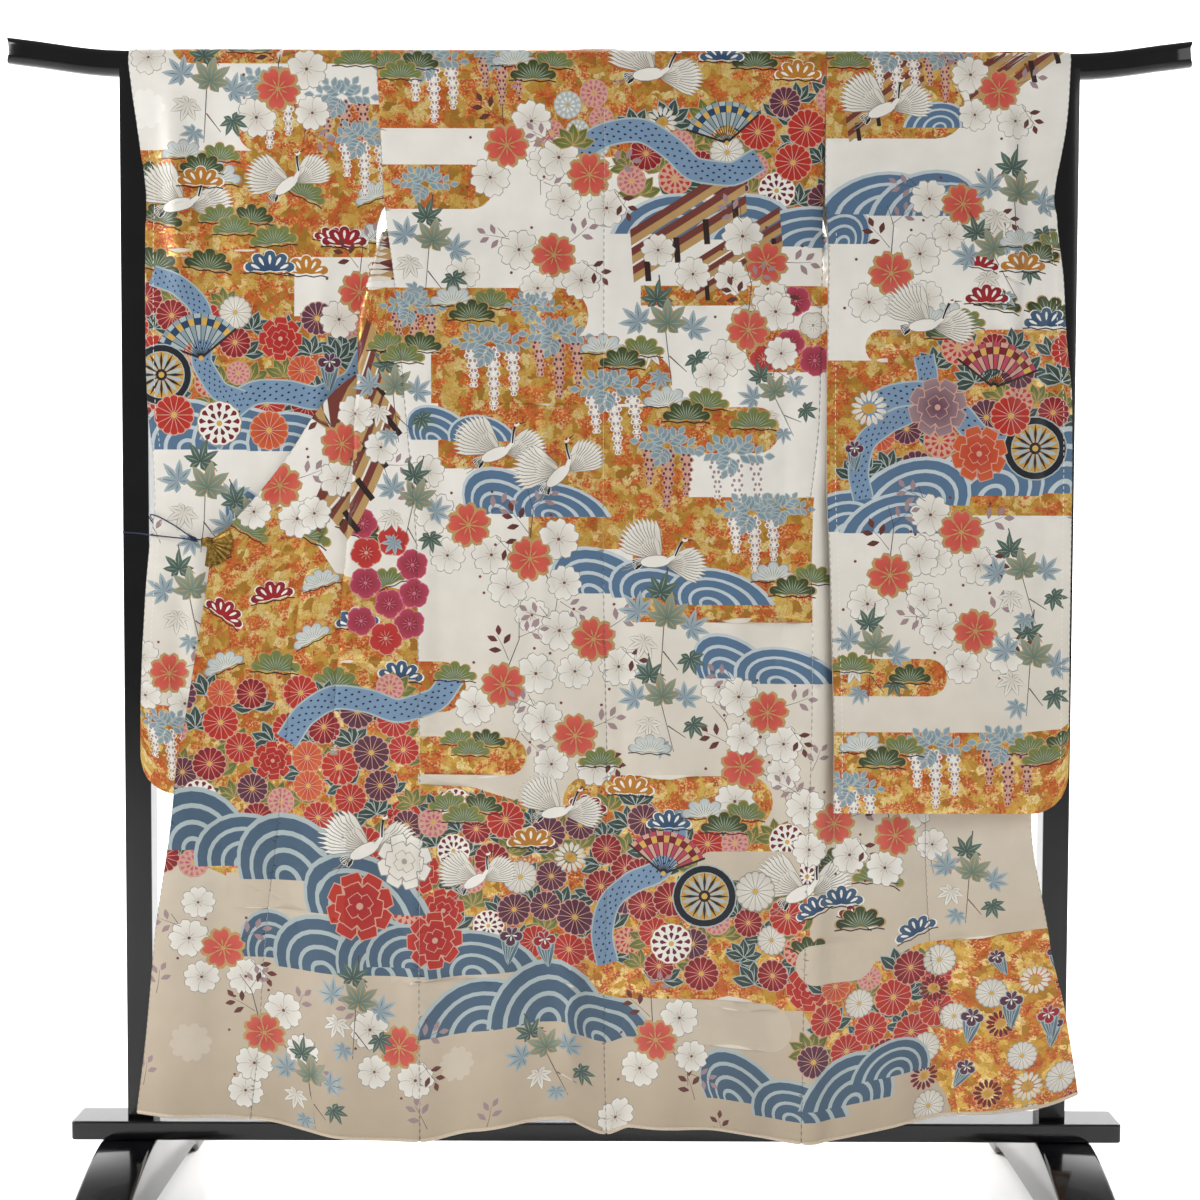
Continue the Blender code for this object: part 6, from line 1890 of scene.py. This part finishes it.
def make_bar():
    """The cross bar: drawn out from its middle, its ends swept up and cut slantwise."""
    middle = BAR_TOP - BAR_HEIGHT / 2
    piece = block("stand_bar", (-BAR_RISE_START, -BAR_DEPTH / 2, middle - BAR_HEIGHT / 2),
                  (BAR_RISE_START, BAR_DEPTH / 2, middle + BAR_HEIGHT / 2))
    select_in(piece, lambda m, e: abs(m.y) > 0.01 and abs(m.z - middle) > 0.01 and abs(m.x) < 0.01, "edges")
    bpy.ops.mesh.bevel(offset=BAR_CORNER, segments=7, affect="EDGES")
    draw_out(piece, "x", BAR_RISE_START, (0.715, 0.74, 0.765, 0.79, 0.81, 0.83, 0.852))

    def sweep(co):
        x, up = co.x, co.z - middle
        share = (abs(x) - BAR_RISE_START) / (BAR_HALF_LENGTH - BAR_RISE_START)
        co.z += BAR_RISE * smoothstep(share * 0.72) / 0.80
        co.x += math.copysign(0.008 * up / (BAR_HEIGHT / 2) * smoothstep((abs(x) - 0.80) / 0.052), x)

    shaped(piece, sweep)
    select_in(piece, lambda m, e: abs(m.x) > 0.84 and abs(e.normal.x) > 0.9)
    bpy.ops.mesh.inset(thickness=0.0022)
    extrude()
    bpy.ops.mesh.remove_doubles(threshold=0.00005)
    dressed(piece, LACQUER, "bar", 0.0012, 2, 50)


def make_post(name, x, node):
    """A square post whose forked head cups the bar."""
    low, high = BOARD_TOP + SEAM, BAR_TOP - BAR_HEIGHT + CHEEK_RISE
    half = POST_SIZE / 2
    reach = BAR_DEPTH / 2 + SEAM
    floor = BAR_TOP - BAR_HEIGHT - SEAM
    corner = BAR_CORNER + SEAM
    piece = block(name, (x - half, -half, low), (x + half, half, high))
    for place in (-reach, reach):
        cut_through(place)
    select_in(piece, lambda m, e: e.normal.z > 0.9 and m.z > high - 0.001 and abs(m.y) < reach)
    extrude(z=floor - high)
    bpy.ops.mesh.select_all(action="SELECT")
    bpy.ops.mesh.remove_doubles(threshold=0.00005)
    bpy.ops.mesh.dissolve_degenerate()
    for share in (-0.86, -0.66, 0.66, 0.86):
        cut_through(share * reach)

    def cup(co):
        """Raise the cup's floor beside its cheeks, to follow the bar's round underside."""
        beyond = abs(co.y) - (reach - corner)
        if abs(co.z - floor) < 1e-5 and 0 < beyond and abs(co.y) <= reach + 1e-5:
            co.z += corner - math.sqrt(max(corner ** 2 - beyond ** 2, 0.0)) - 1e-5

    shaped(piece, cup)
    dressed(piece, LACQUER, node, 0.0035, 4, 60)


def make_board():
    """The foot board: one plank with softened edges, its top and bottom faces inset flush."""
    piece = block("stand_foot_board", (-BOARD_HALF_LENGTH, -BOARD_DEPTH / 2, BOARD_BOTTOM),
                  (BOARD_HALF_LENGTH, BOARD_DEPTH / 2, BOARD_TOP))
    select_in(piece, lambda m, e: abs(m.x) > 0.7 and abs(m.y) > 0.03 and abs(m.z - 0.129) < 0.01, "edges")
    bpy.ops.mesh.bevel(offset=0.006, segments=5, affect="EDGES")
    select_in(piece, lambda m, e: abs(e.normal.z) > 0.9)
    bpy.ops.mesh.inset(thickness=0.004)
    dressed(piece, LACQUER, "foot_board", 0.0028, 4, 60)


def foot_top(reach):
    """Height of a foot's upper face at a distance from the middle: flat, then a long soft slope."""
    flat = BOARD_BOTTOM - SEAM
    share = max(reach - FOOT_SEAT, 0.0) / (FOOT_HALF_LENGTH - FOOT_SEAT)
    return flat - (flat - FOOT_TIP_TOP) * (0.55 * share ** 1.15 + 0.45 * smoothstep(share))


def foot_bottom(reach):
    """Height of a foot's lower face: arched between two pads that meet the floor."""
    rise = smoothstep((PAD_INNER + 0.014 - reach) / 0.026)
    return ARCH_HEIGHT * (0.75 * rise + 0.25 * math.sqrt(max(1 - (reach / PAD_INNER) ** 2, 0.0)) * rise)


def make_foot(name, x, node):
    """An arched foot: drawn out from its middle to both tips, then rounded along its arrises."""
    half = FOOT_WIDTH / 2
    piece = block(name, (x - half, -0.020, 0.0), (x + half, 0.020, 0.100))
    draw_out(piece, "y", 0.020, (
        FOOT_SEAT, 0.062, 0.085, 0.108, 0.130, 0.150, 0.170, 0.188, 0.205, 0.217, 0.224, 0.230,
        0.236, 0.242, 0.249, 0.265, 0.280, 0.292, 0.303, FOOT_HALF_LENGTH))

    def arch(co):
        co.z = foot_top(abs(co.y)) if co.z > 0.05 else foot_bottom(abs(co.y))

    shaped(piece, arch)
    dressed(piece, LACQUER, node, 0.0055, 4, 50)


def make_fan():
    """The fan of the clip: pleated leaf between ribs, with a scalloped edge."""
    rings = []
    for radius in (0.0055, 0.012, 0.020, 0.029, 0.0345, FAN_RADIUS):
        row = []
        for i in range(FAN_RIBS * 4 + 1):
            angle = FAN_FROM + (FAN_TO - FAN_FROM) * i / (FAN_RIBS * 4)
            reach = radius * ((0.955, 0.985, 1.0, 0.985)[i % 4] if radius > 0.03 else 1.0)
            ridge = (0.0011, 0.0003, -0.0003, 0.0003)[i % 4] * min(radius / 0.02, 1.0)
            row.append((CLIP_X + reach * math.cos(angle), CLIP_NEAR_Y + 0.0011 - ridge,
                        CLIP_Z + reach * math.sin(angle)))
        rings.append(row)
    width = len(rings[0])
    faces = [(a * width + b, (a + 1) * width + b, (a + 1) * width + b + 1, a * width + b + 1)
             for a in range(len(rings) - 1) for b in range(width - 1)]
    mesh = bpy.data.meshes.new("clip_fan")
    mesh.from_pydata([point for row in rings for point in row], [], faces)
    bpy.ops.object.select_all(action="DESELECT")
    piece = bpy.data.objects.new("clip_fan", mesh)
    bpy.context.scene.collection.objects.link(piece)
    bpy.context.view_layer.objects.active = piece
    piece.select_set(True)
    plate = piece.modifiers.new("plate", "SOLIDIFY")
    plate.thickness = 0.0007
    plate.offset = 0.0
    bpy.ops.object.modifier_apply(modifier="plate")
    bpy.ops.object.shade_smooth_by_angle(angle=math.radians(25))
    finish_piece(piece, BRASS, "fan_clip")


def make_boss():
    """A stepped, domed disc over the fan's pivot."""
    bpy.ops.object.select_all(action="DESELECT")
    bpy.ops.mesh.primitive_cylinder_add(
        vertices=32, radius=0.0075, depth=0.0016, location=(CLIP_X, CLIP_NEAR_Y - 0.0004, CLIP_Z),
        rotation=(math.radians(90), 0, 0))
    boss = bpy.context.object
    boss.name = boss.data.name = "clip_boss"
    bpy.ops.object.transform_apply(location=True, rotation=True, scale=True)
    bpy.ops.object.mode_set(mode="EDIT")
    for inset, rise in ((0.0012, 0.0), (0.0003, 0.0005), (0.0022, 0.0), (0.0004, 0.0006)):
        select_in(boss, lambda m, e: e.normal.y < -0.9 and math.dist(m.xz, (CLIP_X, CLIP_Z)) < 0.0002)
        bpy.ops.mesh.inset(thickness=inset)
        if rise:
            bpy.ops.transform.translate(value=(0, -rise, 0))
    dressed(boss, BRASS, None, 0.0002, 2, 50)


def make_spring():
    """The spring of the clip: a bent strip whose rear jaw lies behind the cloth."""
    near, far = CLIP_NEAR_Y + 0.0019, CLIP_FAR_Y - 0.0007
    path = np.array([(0.003, near), (-CLIP_REACH + 0.003, near), (-CLIP_REACH, CLIP_NEAR_Y + 0.0045),
                     (-CLIP_REACH, CLIP_FAR_Y - 0.0032), (-CLIP_REACH + 0.003, far), (0.016, far)])
    steps = np.gradient(path, axis=0)
    normals = np.stack((-steps[:, 1], steps[:, 0]), axis=-1)
    normals /= np.linalg.norm(normals, axis=1, keepdims=True)
    rings = [[(CLIP_X + a + s * na, y + s * ny, CLIP_Z + up)
              for s, up in ((-0.0004, -0.0062), (0.0004, -0.0062), (0.0004, 0.0062), (-0.0004, 0.0062))]
             for (a, y), (na, ny) in zip(path, normals)]
    finish_piece(loft("clip_spring", rings, 60), BRASS)


def cord_line(route, smooth):
    """Points along a smooth curve through a route's points."""
    route = np.array(route)
    points = []
    for i in range(len(route) - 1):
        p0, p1, p2, p3 = (route[max(i - 1, 0)], route[i], route[i + 1], route[min(i + 2, len(route) - 1)])
        for t in np.linspace(0, 1, smooth, endpoint=False):
            points.append(0.5 * (2 * p1 + (p2 - p0) * t + (2 * p0 - 5 * p1 + 4 * p2 - p3) * t ** 2
                                 + (3 * p1 - p0 - 3 * p2 + p3) * t ** 3))
    return points + [route[-1]]


# The elastic leaves the clip, lies over the sleeve to its outer edge, goes once round the post and
# comes back over the sleeve to the knot
CORD_ROUTE = [
    (-0.5752, -0.0416, 1.0014), (-0.5800, -0.0414, 1.0016), (-0.5870, -0.0406, 1.0034),
    (-0.5990, -0.0380, 1.0112), (-0.6130, -0.0352, 1.0205), (-0.6270, -0.0330, 1.0285),
    (-0.6390, -0.0315, 1.0345), (-0.6480, -0.0285, 1.0372), (-0.6530, -0.0225, 1.0368),
    (-0.6543, -0.0130, 1.0335), (-0.6543, 0.0000, 1.0290), (-0.6543, 0.0130, 1.0250),
    (-0.6561, 0.0189, 1.0225), (-0.6650, 0.0204, 1.0200), (-0.6750, 0.0204, 1.0180),
    (-0.6850, 0.0204, 1.0165), (-0.6939, 0.0189, 1.0150), (-0.6954, 0.0120, 1.0140),
    (-0.6954, 0.0000, 1.0130), (-0.6954, -0.0120, 1.0122), (-0.6939, -0.0189, 1.0115),
    (-0.6840, -0.0206, 1.0110), (-0.6700, -0.0228, 1.0100), (-0.6560, -0.0275, 1.0085),
    (-0.6440, -0.0310, 1.0072), (-0.6300, -0.0335, 1.0058), (-0.6140, -0.0360, 1.0042),
    (-0.5990, -0.0387, 1.0026), (-0.5870, -0.0406, 1.0008), (-0.5800, -0.0412, 0.9988),
]


def make_cord():
    """The elastic in one length, and the wraps of its knot with a short tail."""
    line = cord_line(CORD_ROUTE, 6)
    cord = loft("clip_elastic", rings_along(line, CORD_RADIUS, 10), 60)
    finish_piece(cord, ELASTIC, "clip_cord")
    start, end = Vector((-0.5835, -0.0410, 1.0012)), Vector((-0.5915, -0.0398, 1.0040))
    along = (end - start).normalized()
    side = along.cross(Vector((0, 1, 0))).normalized()
    up = side.cross(along)
    wraps = []
    for i in range(KNOT_STEPS + 1):
        angle = 2 * math.pi * i / 14
        wraps.append(start.lerp(end, i / KNOT_STEPS) + side * 0.0030 * math.cos(angle)
                     + up * 0.0028 * math.sin(angle))
    tail = wraps[-1] + Vector((-0.004, -0.0010, -0.0035))
    wraps += [wraps[-1].lerp(tail, share) for share in (0.4, 0.7, 1.0)]
    rings = rings_along(cord_line([tuple(place) for place in wraps], 3), CORD_RADIUS * 0.9, 10)
    knot = finish_piece(loft("clip_knot", rings, 60), ELASTIC)


bpy.context.scene.view_settings.view_transform = "Standard"
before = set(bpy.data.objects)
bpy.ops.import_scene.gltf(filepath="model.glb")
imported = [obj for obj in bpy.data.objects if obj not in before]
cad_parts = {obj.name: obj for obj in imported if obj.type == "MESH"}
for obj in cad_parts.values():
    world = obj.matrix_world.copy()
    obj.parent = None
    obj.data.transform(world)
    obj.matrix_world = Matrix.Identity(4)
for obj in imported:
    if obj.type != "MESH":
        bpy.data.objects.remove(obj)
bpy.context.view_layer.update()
bpy.ops.object.select_all(action="DESELECT")

SILK = dyed_silk()
LINING = plain_silk("cream_lining_silk", "#E3D9CA", "#EFE8DB")
HEM_SILK = plain_silk("peach_hem_silk", "#CDBBA2", "#DCCDB7")
LACQUER = lacquer()
BRASS = gilt_brass()
ELASTIC = braided_elastic()


def silk(name, place, outline, design, facing, hem=None, **more):
    """A panel of dyed silk, and where the roll at its hem runs from and to."""
    panel = silk_panel(name + "_silk", place, outline, design, facing, **more)
    panels[name] = finish_piece(panel, SILK, name)
    if hem:
        hems[name] = (place, *hem)


panels, hems = {}, {}
SHORE = ("wave", "foam")
body = design(BODY_BANDS, BODY_BEDS, BODY_FIELDS, BODY_PALE, BODY_SPOTS,
              [(BODY_WAVES, SHORE), (SKIRT_WAVES, ("deep_wave", "haze"))], BODY_TONGUES + SKIRT_TONGUES)
left_design, right_design, left_far, right_far = (
    design(bands, [], sparser(fields, gap), sparser(pale, gap), spots, [(rows, SHORE)])
    for bands, fields, pale, spots, rows, gap in (
        (LEFT_BANDS, LEFT_FIELDS, LEFT_PALE, LEFT_SPOTS, LEFT_WAVES, 1),
        (RIGHT_BANDS, RIGHT_FIELDS, RIGHT_PALE, RIGHT_SPOTS, RIGHT_WAVES, 1),
        (LEFT_BANDS, LEFT_FIELDS, LEFT_PALE, LEFT_SPOTS[2::3], LEFT_WAVES, 1.8),
        (RIGHT_BANDS, RIGHT_FIELDS, RIGHT_PALE, RIGHT_SPOTS[4::5], RIGHT_WAVES, 2.4)))

silk("back_left", back_place(LEFT_SIDE),
     side_outline(line_of(LEFT_SIDE, "x", HALF_SEAM), line_of(CENTRE, "x", -HALF_SEAM), HEM_HEIGHT, TOP),
     body, 1, (float(read(LEFT_SIDE, "x", HEM_HEIGHT)) + 0.001, 0.013))
silk("back_right", back_place(RIGHT_SIDE),
     side_outline(line_of(CENTRE, "x", HALF_SEAM), line_of(RIGHT_SIDE, "x", -HALF_SEAM), HEM_HEIGHT, TOP),
     body, 1, (0.016, float(read(RIGHT_SIDE, "x", HEM_HEIGHT)) - 0.001))
edges = [line_of(LEFT_SIDE, "x")] + [line_of(LEFT_FRONT, column) for column in ("tuck", "turn", "seam")]
bends = [LEG * number + shift for number in (1, 2) for shift in (-0.004, -0.002, 0.0, 0.002, 0.004)]
silk("front_left", left_front_place, box_outline(3 * LEG, HEM_HEIGHT, TOP), body, -1,
     (0.002, 3 * LEG - 0.002), legs=[left_leg(edges[i], edges[i + 1], i) for i in range(3)],
     extra=lines([0.010, 0.020] + bends, HEM_HEIGHT, TOP))
silk("okumi_left", left_overlap_place, box_outline(OVERLAP, HEM_HEIGHT, OVERLAP_TOP), body, -1,
     (0.002, OVERLAP - 0.002), legs=[Leg(left_to_overlap)])
silk("front_right", right_front_place, box_outline(RIGHT_WIDTH, HEM_HEIGHT, TOP), body, 1,
     (0.002, RIGHT_WIDTH - 0.002), legs=[Leg(right_to_front)],
     extra=right_folds(False, "front_width", RIGHT_WIDTH, SPREAD_TOP))
silk("okumi_right", right_overlap_place, box_outline(OVERLAP, HEM_HEIGHT, OVERLAP_TOP), body, 1,
     (0.002, OVERLAP - 0.002), legs=[Leg(right_to_overlap)],
     extra=right_folds(True, "overlap_width", OVERLAP, OVERLAP_TOP))
for name, rows, side, sign, bottom, drawn, far in (
        ("sleeve_left", LEFT_SLEEVE, LEFT_SIDE, -1, LEFT_BAG_BOTTOM, left_design, left_far),
        ("sleeve_right", RIGHT_SLEEVE, RIGHT_SIDE, 1, RIGHT_BAG_BOTTOM, right_design, right_far)):
    end = 2 * CREST_TOP - bottom
    inner, outer = 0.012, SLEEVE_WIDTH - 0.012
    silk(name, sleeve_place(rows, side, sign, bottom), box_outline(SLEEVE_WIDTH, bottom, end), drawn, sign,
         legs=sleeve_legs(rows, side, sign, far),
         extra=lines([SLEEVE_WIDTH - gap for gap in (0.001, 0.003, 0.006, 0.010)], bottom, end),
         sewn=[((outer, bottom + 0.06), (outer, CREST_TOP - 0.03)),
               ((inner, bottom + 0.02), (inner, SHOULDER_END - 0.03))])

collar_rings = []
for section in collar_band():
    section = np.array(section)
    over = section[:, 2].min() > CREST_Z
    outward = np.array((0.0, 0.0, COLLAR_HALF) if over else (0.0, COLLAR_HALF, 0.0))
    collar_rings.append(np.concatenate((section + outward, (section - outward)[::-1])))
collar = finish_piece(loft("collar_band", collar_rings, 60), LINING, "collar")
for name, run in hems.items():
    hem_roll("hem_" + name, *run)

make_bar()
for side, sign in (("left", -1), ("right", 1)):
    make_post("stand_post_" + side, sign * POST_X, "post_" + side)
make_board()
for side, sign in (("left", -1), ("right", 1)):
    make_foot("stand_foot_" + side, sign * FOOT_X, "foot_" + side)
make_fan()
make_boss()
make_spring()
make_cord()

# A white paper sweep behind and under the stand
bpy.ops.mesh.primitive_plane_add(size=1.0, location=(0.0, 0.0, 0.0))
sweep = bpy.context.object
sweep.name = "studio_sweep"
profile = [(-6.0, 0.0), (2.2, 0.0)]
profile += [(2.2 + 1.2 * math.sin(a), 1.2 - 1.2 * math.cos(a)) for a in np.linspace(0.1, math.pi / 2, 14)]
profile += [(3.4, 6.0)]
count = len(profile)
sweep.data.clear_geometry()
sweep.data.from_pydata([(x, y, z) for x in (-6.0, 6.0) for y, z in profile], [],
                       [(i + count, i + 1 + count, i + 1, i) for i in range(count - 1)])
sweep.data.shade_smooth()
sweep.data.materials.append(studio_paper())

for name, place, target, size, power in (
        ("key_softbox", (-3.0, -2.1, 2.7), (0.0, 0.0, 0.9), (1.2, 2.0), 72),
        ("fill_softbox", (2.8, -3.0, 2.2), (0.0, 0.0, 0.8), (1.4, 2.0), 18),
        ("backdrop_left", (-3.2, 1.2, 3.4), (-0.6, 3.3, 1.3), (1.5, 1.5), 260),
        ("backdrop_right", (3.2, 1.2, 3.4), (0.6, 3.3, 1.3), (1.5, 1.5), 260)):
    bpy.ops.object.light_add(type="AREA", location=place)
    light = bpy.context.object
    light.name = name
    light.data.shape = "RECTANGLE"
    light.data.size, light.data.size_y = size
    light.data.energy = power
    light.rotation_euler = (Vector(target) - Vector(place)).to_track_quat("-Z", "Y").to_euler()

world = bpy.data.worlds.new("soft_room")
world.use_nodes = True
world.node_tree.nodes["Background"].inputs["Color"].default_value = (1.0, 1.0, 1.0, 1.0)
world.node_tree.nodes["Background"].inputs["Strength"].default_value = 0.31
bpy.context.scene.world = world

camera_data = bpy.data.cameras.new("camera")
camera_data.lens = 54.0
camera_data.sensor_width = 36.0
camera = bpy.data.objects.new("camera", camera_data)
bpy.context.scene.collection.objects.link(camera)
camera.location = (0.003, -2.65, 1.032)
tilt = Matrix.Rotation(math.radians(90.0 - 2.55), 3, "X")
camera.rotation_euler = (tilt @ Matrix.Rotation(math.radians(0.19), 3, "Z")).to_euler()
bpy.context.scene.camera = camera
